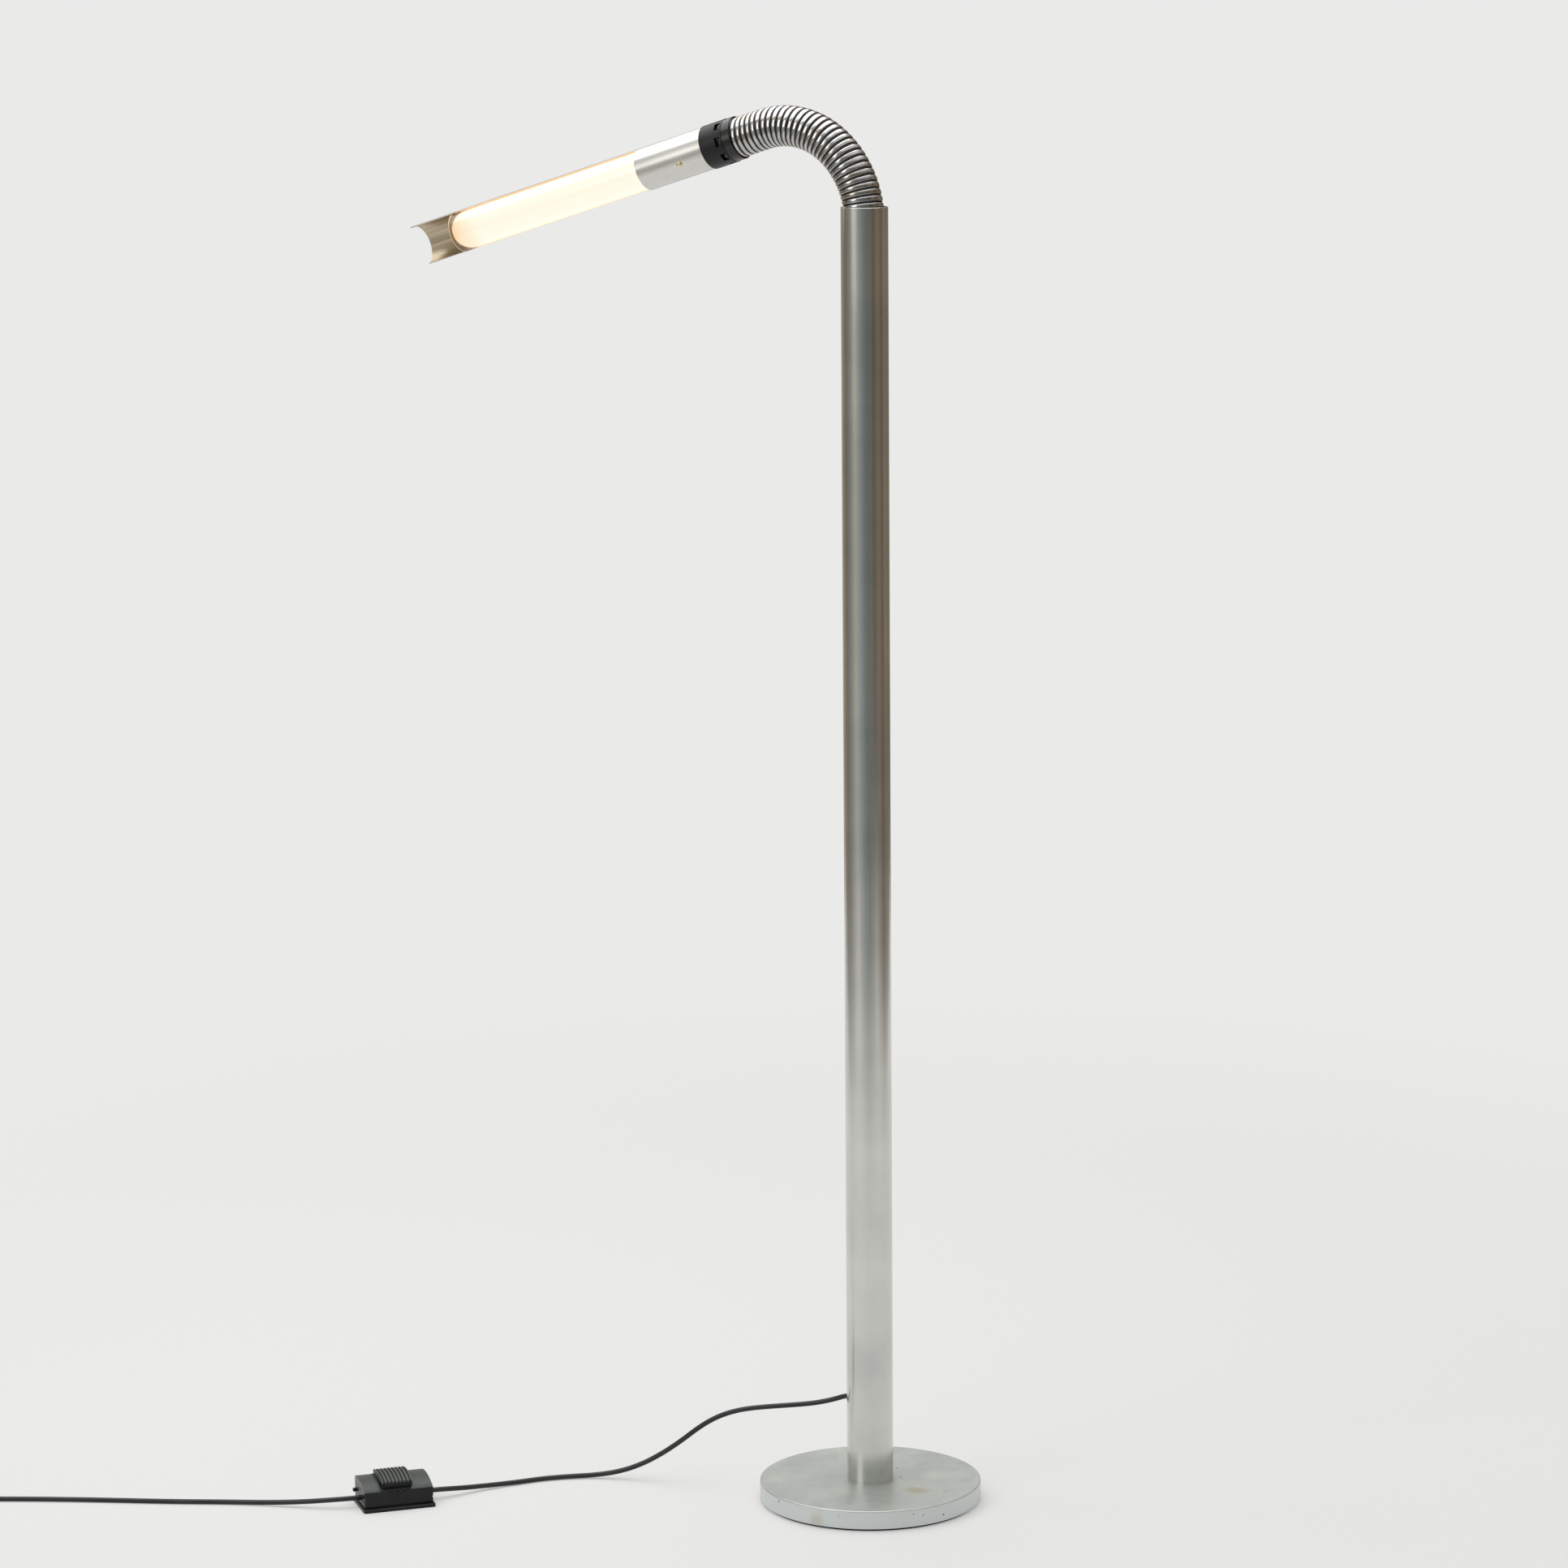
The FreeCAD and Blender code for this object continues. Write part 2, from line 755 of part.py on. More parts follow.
turned(
    "bulb_glass",
    [
        (11.4, cap_end - 10),
        (12.4, cap_end - 10),
        (12.4, cap_end + 2),
        (bulb_outer, cap_end + 11),
        (bulb_outer, dome, bulb_outer),
        (0, size("bulb_end")),
        (0, size("bulb_end") - size("bulb_wall"), -bulb_inner),
        (bulb_inner, dome),
        (bulb_inner, cap_end + 11.5),
        (11.4, cap_end + 2.4),
    ],
    shade_frame,
)
guard_outer = size("guard_dia") / 2
guard_inner = guard_outer - size("guard_wall")
guard_start = holder_high + 7
turned(
    "guard_tube",
    [
        (guard_inner, guard_start),
        (guard_outer, guard_start),
        (guard_outer, size("guard_end")),
        (guard_inner - 0.7, size("guard_end")),
        (guard_inner - 0.7, size("guard_end") - 1.8),
        (guard_inner, size("guard_end") - 2.4),
    ],
    shade_frame,
)
turned(
    "guard_ring",
    [
        (shade_inner - 1.9, guard_start - 4),
        (shade_inner, guard_start - 4),
        (shade_inner, guard_start),
        (shade_inner - 1.9, guard_start),
    ],
    shade_frame,
)

# ---------------------------------------------------------------- foot switch

plate_top = size("plate_thick")
half_long, half_deep = size("switch_long") / 2, size("switch_deep") / 2
cover_half = size("cover_long") / 2
wall = size("cover_wall")
front, back = -(half_deep - 5), half_deep - 4.5
inlet = size("inlet_tall")
screw_spots = [(x, y) for x in (-34, 34) for y in (-16, 16)]

plate = new_body("switch_plate")
feature(plate, "Pad", box_outline(plate, "XY_Plane", -half_long, half_long, -half_deep, half_deep), plate_top)
corner_edges = [
    f"Edge{i}"
    for i, line in enumerate(plate.Shape.Edges, start=1)
    if abs(line.Vertexes[0].X - line.Vertexes[-1].X) < 0.01 and abs(line.Vertexes[0].Y - line.Vertexes[-1].Y) < 0.01
]
blank = plate.Tip
rounding = plate.newObject("PartDesign::Fillet", "PlateCorners")
rounding.Base = (blank, corner_edges)
rounding.Radius = 3
doc.recompute()
rim_edges = [
    f"Edge{i}"
    for i, line in enumerate(plate.Shape.Edges, start=1)
    if min(point.Z for point in line.Vertexes) > float(plate_top) - 0.01
]
bevel = plate.newObject("PartDesign::Chamfer", "PlateRim")
bevel.Base = (rounding, rim_edges)
bevel.Size = 1
doc.recompute()
cut(plate, circles(plate, "XY_Plane", screw_spots, 1.5), None, True)
cut(plate, circles(plate, "XY_Plane", screw_spots, 2.8), 2, True)
latch_notch = box_outline(plate, "XY_Plane", half_long - 1.2, half_long + 1, -23.5, -20.5)
cut(plate, latch_notch, None, True)
keep(plate, "switch_plate", switch_frame)

crown = as_dim(75)
cover = new_body("switch_cover")


def arched(low_front, low_back, inset, drop):
    """The switch's end profile: upright front and back under a crowned top that slopes to the front."""
    return [
        (front + inset, low_front),
        (front + inset, size("cover_front") - drop, -(crown - drop)),
        (back - inset, size("cover_back") - drop),
        (back - inset, low_back),
    ]


def across(body, kind, corners, start, length):
    """A pad or pocket of a YZ profile that starts at an x and runs to +X."""
    profile = outline(body, "YZ_Plane", corners, start)
    if kind == "Pad":
        return feature(body, "Pad", profile, length)
    return cut(body, profile, length, True)


pedal_start = -18.2
opening_start = pedal_start - 0.8
opening_long = size("pedal_long") + 1.6
pin_y, pin_z = 16.5, 23.5
across(cover, "Pad", arched(plate_top, plate_top, 0, 0), -cover_half, size("cover_long"))
across(cover, "Pad", arched(size("cover_front") - 3, size("cover_back") - 3, 1.5, -0.8), opening_start - 1.4, opening_long + 2.8)
across(cover, "Pocket", arched(plate_top - 1, plate_top - 1, wall, wall), -(cover_half - wall), size("cover_long") - wall * 2)
feature(cover, "Pad", circles(cover, "XY_Plane", screw_spots, 3, plate_top), 13)
lug = [(pin_y - 3.2, pin_z - 3), (pin_y + 3.2, pin_z - 3), (pin_y + 3.2, 27), (pin_y - 3.2, 27)]
across(cover, "Pad", lug, opening_start - 3, 3)
across(cover, "Pad", lug, opening_start + opening_long, 3)
cut(cover, box_outline(cover, "XY_Plane", opening_start, opening_start + opening_long, -18.6, 20.4, 15), None, True)
cut(cover, circles(cover, "XY_Plane", screw_spots, 1.3, plate_top - 1), 10, True)
cut(cover, circles(cover, "YZ_Plane", [(pin_y, pin_z)], size("pedal_pin_dia") / 2, opening_start - 3.5), opening_long + 7, True)
cut(cover, circles(cover, "YZ_Plane", [(0, inlet)], cord_radius + 0.1, -(cover_half + 1)), size("cover_long") + 2, True)
for wall_x in (-(cover_half + 1), cover_half - 0.8):
    parting = [(front - 1, inlet - 0.9), (0, inlet - 0.9), (0, inlet + 0.9), (front - 1, inlet + 0.9)]
    across(cover, "Pocket", parting, wall_x, 1.8)
    relief = [(-1, inlet - 3.8), (1, inlet - 3.8), (1, inlet + 4.6), (-1, inlet + 4.6)]
    across(cover, "Pocket", relief, wall_x, 1.8)
release_tab = [(back - 5.5, 12.2), (back - 1.5, 12.2), (back - 1.5, 15.4), (back - 5.5, 15.4)]
across(cover, "Pad", release_tab, -(cover_half + 3.2), 3.6)
for notch_x in (-9.5, -1.5, 6.5):
    lip_notch = box_outline(cover, "XY_Plane", notch_x - 2, notch_x + 2, front - 1, front + 1.2, 19.8)
    cut(cover, lip_notch, 8, True)
keep(cover, "switch_cover", switch_frame)

pedal = new_body("switch_pedal")
pedal_crown = 62
skirt = [
    (-17.8, 20),
    (-17.8, 26.2),
    (-21.5, 26.2),
    (-21.5, 31.6, -pedal_crown),
    (19.6, 34.6),
    (19.6, 20),
]
across(pedal, "Pad", skirt, pedal_start, size("pedal_long"))
rib_groove = [(-23, 30.1, -pedal_crown), (21, 33.3), (21, 38), (-23, 38)]
groove_cut = across(pedal, "Pocket", rib_groove, pedal_start + 1.2, 1.8)
ribs = pedal.newObject("PartDesign::LinearPattern", "PedalRibs")
ribs.Originals = [groove_cut]
ribs.Direction = ([line for line in pedal.Origin.OriginFeatures if line.Role == "X_Axis"][0], [""])
bind(ribs, "Length", size("pedal_rib") * 7)
ribs.Occurrences = 8
pedal.Tip = ribs
doc.recompute()
cut(pedal, box_outline(pedal, "XY_Plane", pedal_start + 2, pedal_start + size("pedal_long") - 2, -15.8, 13, 19), 8.6, True)
cut(pedal, circles(pedal, "YZ_Plane", [(pin_y, pin_z)], size("pedal_pin_dia") / 2 + 0.06, -25), None, True)
keep(pedal, "switch_pedal", switch_frame)

turned(
    "pedal_pin",
    [
        (0, opening_start - 3),
        (size("pedal_pin_dia") / 2 - 0.01, opening_start - 3),
        (size("pedal_pin_dia") / 2 - 0.01, opening_start + opening_long + 3),
        (0, opening_start + opening_long + 3),
    ],
    switch_frame * turn(along_y, 90, Vector(0, pin_y, pin_z)),
)

block_top = plate_top + 8.4
switch_block = new_body("switch_block")
feature(switch_block, "Pad", box_outline(switch_block, "XY_Plane", -12, 12, -2, 10, plate_top), 8.4)
feature(switch_block, "Pad", circles(switch_block, "XY_Plane", [(8, 0)], 1.9, plate_top + 8), 12)
keep(switch_block, "switch_block", switch_frame)

spring = new_body("pedal_spring")
leaf = [
    (10, block_top),
    (10, block_top + 0.4),
    (2.2, block_top + 0.4),
    (-9.8, 27.4),
    (-13, 27.4),
    (-13, 27),
    (-10, 27),
    (2, block_top),
]
across(spring, "Pad", leaf, -8, 8)
keep(spring, "pedal_spring", switch_frame)


def row(label, makers):
    """Like pieces that share one node, as separate solids."""
    group = doc.addObject("Part::Compound", label)
    group.Links = makers
    return keep(group, label, switch_frame)


def terminal(k, x):
    return primitive(
        "Box",
        f"Terminal{k}",
        Placement(Vector(x - 3, 5, float(plate_top)), Rotation()),
        Length=6,
        Width=9,
        Height=6,
    )


def cord_bridge(k, x):
    """A clamp that straddles the cord behind its inlet."""
    bar = primitive(
        "Box",
        f"BridgeBlank{k}",
        Placement(Vector(x - 2.5, -8.5, float(plate_top)), Rotation()),
        Length=5,
        Width=17,
        Height=12,
    )
    gap = primitive(
        "Box",
        f"BridgeGap{k}",
        Placement(Vector(x - 3, -float(cord_radius) - 0.4, float(plate_top) - 1), Rotation()),
        Length=6,
        Width=size("cord_dia") + 0.8,
        Height=inlet + cord_radius - plate_top + 1.05,
    )
    bridge = doc.addObject("Part::Cut", f"Bridge{k}")
    bridge.Base = bar
    bridge.Tool = gap
    return bridge


def screw(k, x, y):
    head = primitive(
        "Cylinder", f"ScrewHead{k}", Placement(Vector(x, y, 0.4), Rotation()), Radius=2.6, Height=1.6
    )
    shank = primitive(
        "Cylinder", f"ScrewShank{k}", Placement(Vector(x, y, 2), Rotation()), Radius=1.25, Height=9.5
    )
    whole = doc.addObject("Part::MultiFuse", f"Screw{k}")
    whole.Shapes = [head, shank]
    return whole


row("switch_terminals", [terminal(k, x) for k, x in enumerate((-20, 20))])
row("cord_clamps", [cord_bridge(k, x) for k, x in enumerate((-31, 31))])
row("switch_screws", [screw(k, x, y) for k, (x, y) in enumerate(screw_spots)])

# ---------------------------------------------------------------- cord, coil and plug


def rounded_path(name, points):
    """Straight runs joined by tangent arcs, each as large as its two runs allow."""
    edges = []
    start = points[0]
    radii = []
    for before, here, after in zip(points[:-2], points[1:-1], points[2:]):
        back_way = (before - here).normalize()
        on_way = (after - here).normalize()
        half_turn = (math.pi - back_way.getAngle(on_way)) / 2
        reach = 0.45 * min((before - here).Length, (after - here).Length)
        radius = reach / math.tan(half_turn)
        radii.append(radius)
        entry, leave = here + back_way * reach, here + on_way * reach
        centre = here + (back_way + on_way).normalize() * math.hypot(reach, radius)
        middle = centre + (here - centre).normalize() * radius
        edges.append(Part.LineSegment(start, entry).toShape())
        edges.append(Part.Arc(entry, middle, leave).toShape())
        start = leave
    edges.append(Part.LineSegment(start, points[-1]).toShape())
    print(f"{name}: least radius {min(radii):.0f} mm, radii {[round(r) for r in radii]}")
    return Part.Wire(edges)


def sweep(name, path, start, direction, diameter):
    circle = Part.Wire([Part.Circle(start, direction, diameter / 2).toShape()])
    tube = path.makePipeShell([circle], True, False)
    plain = math.pi * diameter**2 / 4 * path.Length
    print(f"{name}: {path.Length:.0f} mm long, volume {tube.Volume / plain:.4f} of section times length")
    return tube


def cord_tube(name, points):
    path = rounded_path(name, points)
    return solid(name, sweep(name, path, points[0], points[1] - points[0], float(size("cord_dia"))))


def on_switch(x):
    return switch_frame.multVec(Vector(x, 0, float(inlet)))


exit_tall = float(size("exit_tall"))
inner_face = float(pole_inner) - 3.6
outer_face = float(grommet_out)
outward = Vector(math.cos(math.radians(135)), math.sin(math.radians(135)), 0)
lead_points = [
    outward * outer_face + up * exit_tall,
    outward * (inner_face - 8) + up * exit_tall,
    outward * -1 + up * (exit_tall + 12),
    outward * -5 + up * (exit_tall + 34),
    outward * -4 + up * (exit_tall + 80),
    up * (bend_start - 12),
]
cord_tube("pole_lead", lead_points)

lead_spots = [-11] + list(range(2, 171, 14)) + [192, tip_end]
cord_tube("neck_lead", [neck_plane.multVec(neck_state(spot)[0]) for spot in lead_spots])
lead_end = holder_low + 9
solid(
    "head_lead",
    Part.makeCylinder(float(cord_radius), float(lead_end) - hose_seat - 1, Vector(0, 0, hose_seat + 1)),
    head_frame,
)

to_switch = [
    outward * outer_face + up * exit_tall,
    Vector(-27, 26.5, 107.4),
    Vector(-40, 32.5, 101.6),
    Vector(-59, 37, 96.4),
    Vector(-81, 41, 93.2),
    Vector(-106, 45, 90.4),
    Vector(-131, 49, 87.2),
    Vector(-152, 52.4, 82.2),
    Vector(-171, 55.4, 74),
    Vector(-188.5, 58.4, 62.4),
    Vector(-207.5, 61.4, 46.6),
    Vector(-229.5, 65, 30.6),
    Vector(-252.5, 68.4, 17.4),
    Vector(-276, 71.4, 8.6),
    Vector(-302, 73.6, 3.9),
    Vector(-331, 72, 2.85),
    Vector(-360, 64.6, 2.85),
    Vector(-385, 52, 3),
    Vector(-407, 41.2, 3.7),
    Vector(-427, 29.6, 5.1),
    Vector(-443, 18.6, 6.9),
    Vector(-457, 9, 8.9),
    on_switch(49),
    on_switch(33),
]
cord_tube("flex_to_switch", to_switch)

coil_middle = Vector(float(size("coil_x")), float(size("coil_y")), 0)
reversal = 4.5 * math.pi
coil_last = 8.5 * math.pi
floor_level = float(cord_radius) + 0.05
from_switch = [
    on_switch(-33),
    on_switch(-49),
    Vector(-584, -33.6, 9.8),
    Vector(-606, -31, 7.4),
    Vector(-633, -26.6, 5),
    Vector(-664, -21.6, 3.3),
    Vector(-700, -18, 2.85),
    Vector(-740, -16.8, 2.8),
    Vector(-782, -14.4, 2.8),
    Vector(-826, -10.8, 2.8),
    Vector(-869, -7.8, 2.8),
    Vector(-911, -6, 2.8),
    Vector(-949, -5.4, 2.8),
    Vector(-981, -5.1, 2.8),
    coil_middle + Vector(float(size("cord_dia")), -float(size("coil_radius")), floor_level),
]
cord_tube("flex_to_coil", from_switch)


def coil_state(angle):
    """Place and direction of the put-away cord, by the angle it has turned through: two turns spiral in on
    the floor, half a turn climbs one layer, and the rest spirals out again on top."""
    step = float(size("coil_step")) / (2 * math.pi)
    radius = float(size("coil_radius")) - step * (reversal - abs(angle - reversal))
    climb = min(max((angle - 4 * math.pi) / math.pi, 0), 1)
    height = floor_level + float(size("coil_layer")) * climb**2 * (3 - 2 * climb)
    outwards = Vector(-math.sin(angle), -math.cos(angle), 0)
    forwards = Vector(-math.cos(angle), math.sin(angle), 0)
    drift = step if angle > reversal else -step
    rise = float(size("coil_layer")) * 6 * climb * (1 - climb) / math.pi
    direction = forwards * radius + outwards * drift + up * rise
    if angle == reversal:
        direction = forwards * radius + up * rise
    if angle in (0, coil_last):
        direction = forwards
    return coil_middle + outwards * radius + up * height, direction.normalize()


def biarc(start, start_way, end, end_way):
    """Two arcs that leave one point and reach another in the given directions."""
    gap = end - start
    ways = start_way + end_way
    spread = 2 * (1 - start_way.dot(end_way))
    reach = (-gap.dot(ways) + math.sqrt(gap.dot(ways) ** 2 + spread * gap.dot(gap))) / spread
    near, far = start + start_way * reach, end - end_way * reach
    join = (near + far) / 2
    arcs = []
    for first, corner, last in ((start, near, join), (join, far, end)):
        middle = (first + last) / 2
        half = (last - first).Length / 2
        bow = corner - middle
        sagitta = half * math.tan(math.atan2(bow.Length, half) / 2)
        arcs.append(Part.Arc(first, middle + bow.normalize() * sagitta, last).toShape())
    return arcs


quarter_turns = 17
coil_edges = []
first_place, first_way = coil_state(0)
straight = float(size("cord_dia"))
coil_edges.append(Part.LineSegment(first_place - first_way * straight, first_place).toShape())
for k in range(quarter_turns):
    here, way = coil_state(coil_last * k / quarter_turns)
    there, onward = coil_state(coil_last * (k + 1) / quarter_turns)
    coil_edges += biarc(here, way, there, onward)
last_place, last_way = coil_state(coil_last)
coil_edges.append(Part.LineSegment(last_place, last_place + last_way * straight).toShape())
coil_path = Part.Wire(coil_edges)
solid("flex_coil", sweep("flex_coil", coil_path, first_place - first_way * straight, first_way, straight))
coil_points = coil_path.discretize(400)
spacing = coil_path.Length / 399
far_apart = int(30 / spacing)
least_gap = min(
    (a - b).Length for i, a in enumerate(coil_points) for b in coil_points[i + far_apart :]
)
low_point = min(point.z for point in coil_points) - straight / 2
print(f"flex_coil: least gap to itself {least_gap - straight:.2f} mm, lowest point {low_point:.2f}")

coil_exit = last_place + last_way * straight
plug_axis = float(size("plug_thick")) / 2
to_plug = [
    coil_exit,
    coil_exit + Vector(0.1, 13, -0.1),
    coil_exit + Vector(1.5, 28, -0.9),
    coil_exit + Vector(2.4, 44, -1.75),
    Vector(coil_exit.x + 2.5, coil_exit.y + 58, plug_axis),
]
cord_tube("flex_to_plug", to_plug)

boot_start = to_plug[-1]
plug_frame = turn(up, 90, boot_start + Vector(0, 0, -plug_axis))
boot_end = size("boot_long")
boot_radius = 5.4
turned(
    "plug_boot",
    [
        (0, 0),
        (cord_radius + 0.5, 0),
        (cord_radius + 1.1, boot_end * 0.3),
        (boot_radius, boot_end),
        (0, boot_end),
    ],
    plug_frame * turn(along_y, 90, Vector(0, 0, plug_axis)),
)
plug = new_body("plug_body")
plug_half = size("plug_wide") / 2
plug_face = boot_end + size("plug_long")
plan = [
    (boot_end, -7),
    (plug_face - 12, -plug_half),
    (plug_face, -plug_half),
    (plug_face, plug_half),
    (plug_face - 12, plug_half),
    (boot_end, 7),
]
feature(plug, "Pad", outline(plug, "XY_Plane", plan), size("plug_thick"))
long_edges = [
    f"Edge{i}"
    for i, line in enumerate(plug.Shape.Edges, start=1)
    if abs(line.Vertexes[0].Z - line.Vertexes[-1].Z) < 0.01 and max(p.X for p in line.Vertexes) > float(boot_end) + 1
    and min(p.X for p in line.Vertexes) < float(plug_face) - 1
]
plug_blank = plug.Tip
soften = plug.newObject("PartDesign::Fillet", "PlugEdges")
soften.Base = (plug_blank, long_edges)
soften.Radius = 3
doc.recompute()
keep(plug, "plug_body", plug_frame)


def plug_pin(k, y):
    place = Placement(Vector(float(plug_face), y, plug_axis), Rotation(along_y, 90))
    return primitive("Cylinder", f"PlugPin{k}", place, Radius=2, Height=size("plug_pin_long"))


plug_pins = doc.addObject("Part::Compound", "plug_pins")
plug_pins.Links = [plug_pin(k, y) for k, y in enumerate((-9.4, 9.4))]
keep(plug_pins, "plug_pins", plug_frame)

# ---------------------------------------------------------------- check and write

doc.recompute()
for item in doc.Objects:
    if "Invalid" in item.State or "Error" in item.State:
        raise RuntimeError(f"{item.Label} failed: {item.State}")
for item in nodes:
    shape = item.Shape
    if shape.isNull() or not shape.isValid() or shape.Volume <= 0:
        raise RuntimeError(f"{item.Label} has no valid shape")
    shape.exportStep(f"parts/{item.Label}.step")
    box = shape.BoundBox
    print(
        f"{item.Label}: {len(shape.Solids)} solid(s), {shape.Volume / 1000:.2f} cm3,"
        f" x {box.XMin:.1f}..{box.XMax:.1f}, y {box.YMin:.1f}..{box.YMax:.1f}, z {box.ZMin:.1f}..{box.ZMax:.1f}"
    )
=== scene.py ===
import math

import bmesh
import bpy
import numpy as np
from mathutils import Matrix, Vector


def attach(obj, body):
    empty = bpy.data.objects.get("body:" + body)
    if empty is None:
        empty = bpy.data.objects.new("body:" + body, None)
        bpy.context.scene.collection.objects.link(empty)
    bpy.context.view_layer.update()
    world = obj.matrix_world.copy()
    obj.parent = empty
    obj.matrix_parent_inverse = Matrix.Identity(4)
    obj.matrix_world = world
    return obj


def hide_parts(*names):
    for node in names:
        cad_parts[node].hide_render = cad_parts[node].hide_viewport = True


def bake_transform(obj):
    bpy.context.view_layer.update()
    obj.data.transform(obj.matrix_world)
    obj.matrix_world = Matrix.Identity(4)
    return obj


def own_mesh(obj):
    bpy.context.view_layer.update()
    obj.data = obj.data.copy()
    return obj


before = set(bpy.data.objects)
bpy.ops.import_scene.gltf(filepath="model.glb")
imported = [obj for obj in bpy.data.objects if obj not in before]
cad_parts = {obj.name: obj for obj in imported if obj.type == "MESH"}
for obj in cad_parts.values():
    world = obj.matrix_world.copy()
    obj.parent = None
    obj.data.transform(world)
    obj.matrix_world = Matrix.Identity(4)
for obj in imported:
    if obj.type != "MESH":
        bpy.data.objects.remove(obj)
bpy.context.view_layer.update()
scene = bpy.context.scene
mm = 0.001


def srgbToLinear(hexText):
    # each channel of the hex value, from display to linear light
    channels = [int(hexText[i : i + 2], 16) / 255 for i in (1, 3, 5)]
    return tuple(c / 12.92 if c <= 0.04045 else ((c + 0.055) / 1.055) ** 2.4 for c in channels) + (1.0,)


def addNode(tree, kind, inputs=None, **settings):
    # one node with its settings; an input is a plain value, or (node, output) for a link
    node = tree.nodes.new(kind)
    for name, value in settings.items():
        setattr(node, name, value)
    for name, value in (inputs or {}).items():
        if isinstance(value, tuple) and len(value) == 2 and isinstance(value[0], bpy.types.Node):
            tree.links.new(value[0].outputs[value[1]], node.inputs[name])
        else:
            node.inputs[name].default_value = value
    return node


def setRamp(node, stops):
    # colour ramp stops as (position, hex)
    ramp = node.color_ramp
    while len(ramp.elements) > 1:
        ramp.elements.remove(ramp.elements[-1])
    ramp.elements[0].position = stops[0][0]
    ramp.elements[0].color = srgbToLinear(stops[0][1])
    for position, hexText in stops[1:]:
        ramp.elements.new(position).color = srgbToLinear(hexText)
    return node


def newMaterial(name):
    material = bpy.data.materials.new(name)
    material.use_nodes = True
    material.node_tree.nodes.clear()
    return material, material.node_tree


def finishMaterial(tree, shader):
    addNode(tree, "ShaderNodeOutputMaterial", {"Surface": (shader, 0)})


def gridMesh(name, points, closeAround=True, capEnds=False):
    # points is an array rows x columns x 3; faces join each cell, wrapping round the columns if asked
    rows, columns = points.shape[:2]
    index = np.arange(rows * columns).reshape(rows, columns)
    if closeAround:
        index = np.concatenate([index, index[:, :1]], axis=1)
    quads = np.stack([index[:-1, :-1], index[:-1, 1:], index[1:, 1:], index[1:, :-1]], axis=-1).reshape(-1, 4)
    faces = quads.tolist()
    if capEnds:
        faces.append(list(range(columns))[::-1])
        faces.append([(rows - 1) * columns + k for k in range(columns)])
    mesh = bpy.data.meshes.new(name)
    mesh.from_pydata(points.reshape(-1, 3).tolist(), [], faces)
    mesh.polygons.foreach_set("use_smooth", np.ones(len(mesh.polygons), dtype=bool))
    mesh.update()
    piece = bpy.data.objects.new(name, mesh)
    scene.collection.objects.link(piece)
    return piece


def weldPiece(piece, distance=1e-6):
    # closes the seam of a grid whose first and last columns meet
    work = bmesh.new()
    work.from_mesh(piece.data)
    bmesh.ops.remove_doubles(work, verts=work.verts, dist=distance)
    work.to_mesh(piece.data)
    work.free()
    return piece


def dress(piece, material):
    # the material goes into every slot the piece has, or into a new one
    if piece.material_slots:
        for place in piece.material_slots:
            place.material = material
    else:
        piece.data.materials.append(material)


# place in metres, angles in degrees, lens and sensor in millimetres
cameraView = {
    "place": (0, -5.361, 1.692),
    "yaw": 0.944,
    "pitch": -9.558,
    "roll": -0.426,
    "lens": 117.3,
    "sensor": 36,
    "clipEnd": 60,
}


def makeCamera(view):
    # the view direction from yaw and pitch, then the frame rolled about it
    yaw, pitch, roll = (math.radians(view[k]) for k in ("yaw", "pitch", "roll"))
    ahead = Vector((-math.sin(yaw) * math.cos(pitch), math.cos(yaw) * math.cos(pitch), math.sin(pitch)))
    level = Vector((math.cos(yaw), math.sin(yaw), 0))
    lift = level.cross(ahead)
    right = level * math.cos(roll) + lift * math.sin(roll)
    top = lift * math.cos(roll) - level * math.sin(roll)
    lens = bpy.data.cameras.new("photoCamera")
    lens.lens = view["lens"]
    lens.sensor_width = view["sensor"]
    lens.clip_end = view["clipEnd"]
    camera = bpy.data.objects.new("photoCamera", lens)
    turn = Matrix((right, top, -ahead)).transposed().to_4x4()
    camera.matrix_world = Matrix.Translation(view["place"]) @ turn
    scene.collection.objects.link(camera)
    scene.camera = camera


makeCamera(cameraView)
print("camera set")

# the cord's run over the floor, in millimetres and degrees from the middle of the base
cordSizes = {
    "diameter": 5.5,
    "switchPlace": (-518, -15),
    "switchTurn": 19,
    "inletTall": 10.4,
    "clampReach": 33,
    "straightReach": 49,
    "exitAzimuth": 135,
    "exitTall": 110,
    "exitFace": 27,
    "floorGap": 0.05,
    "coilMiddle": (-1012, 31),
    "coilRadius": 36,
    "coilStep": 6,
    "coilLayer": 5.95,
    "coilTurns": 4.25,
    "coilReversal": 2.25,
    "coilSpread": 1.012,  # the spline runs a little inside its control points
    "coilEnd": (-34.5, 5.5),
    "pointsPerTurn": 16,
    "alongSteps": 10,
    "roundSteps": 8,
}
cordRadius = cordSizes["diameter"] / 2
exitAngle = math.radians(cordSizes["exitAzimuth"])
exitPoint = (
    cordSizes["exitFace"] * math.cos(exitAngle),
    cordSizes["exitFace"] * math.sin(exitAngle),
    cordSizes["exitTall"],
)


def onSwitch(along):
    # a point on the cord's line through the foot switch
    turn = math.radians(cordSizes["switchTurn"])
    x, y = cordSizes["switchPlace"]
    return (x + along * math.cos(turn), y + along * math.sin(turn), cordSizes["inletTall"])


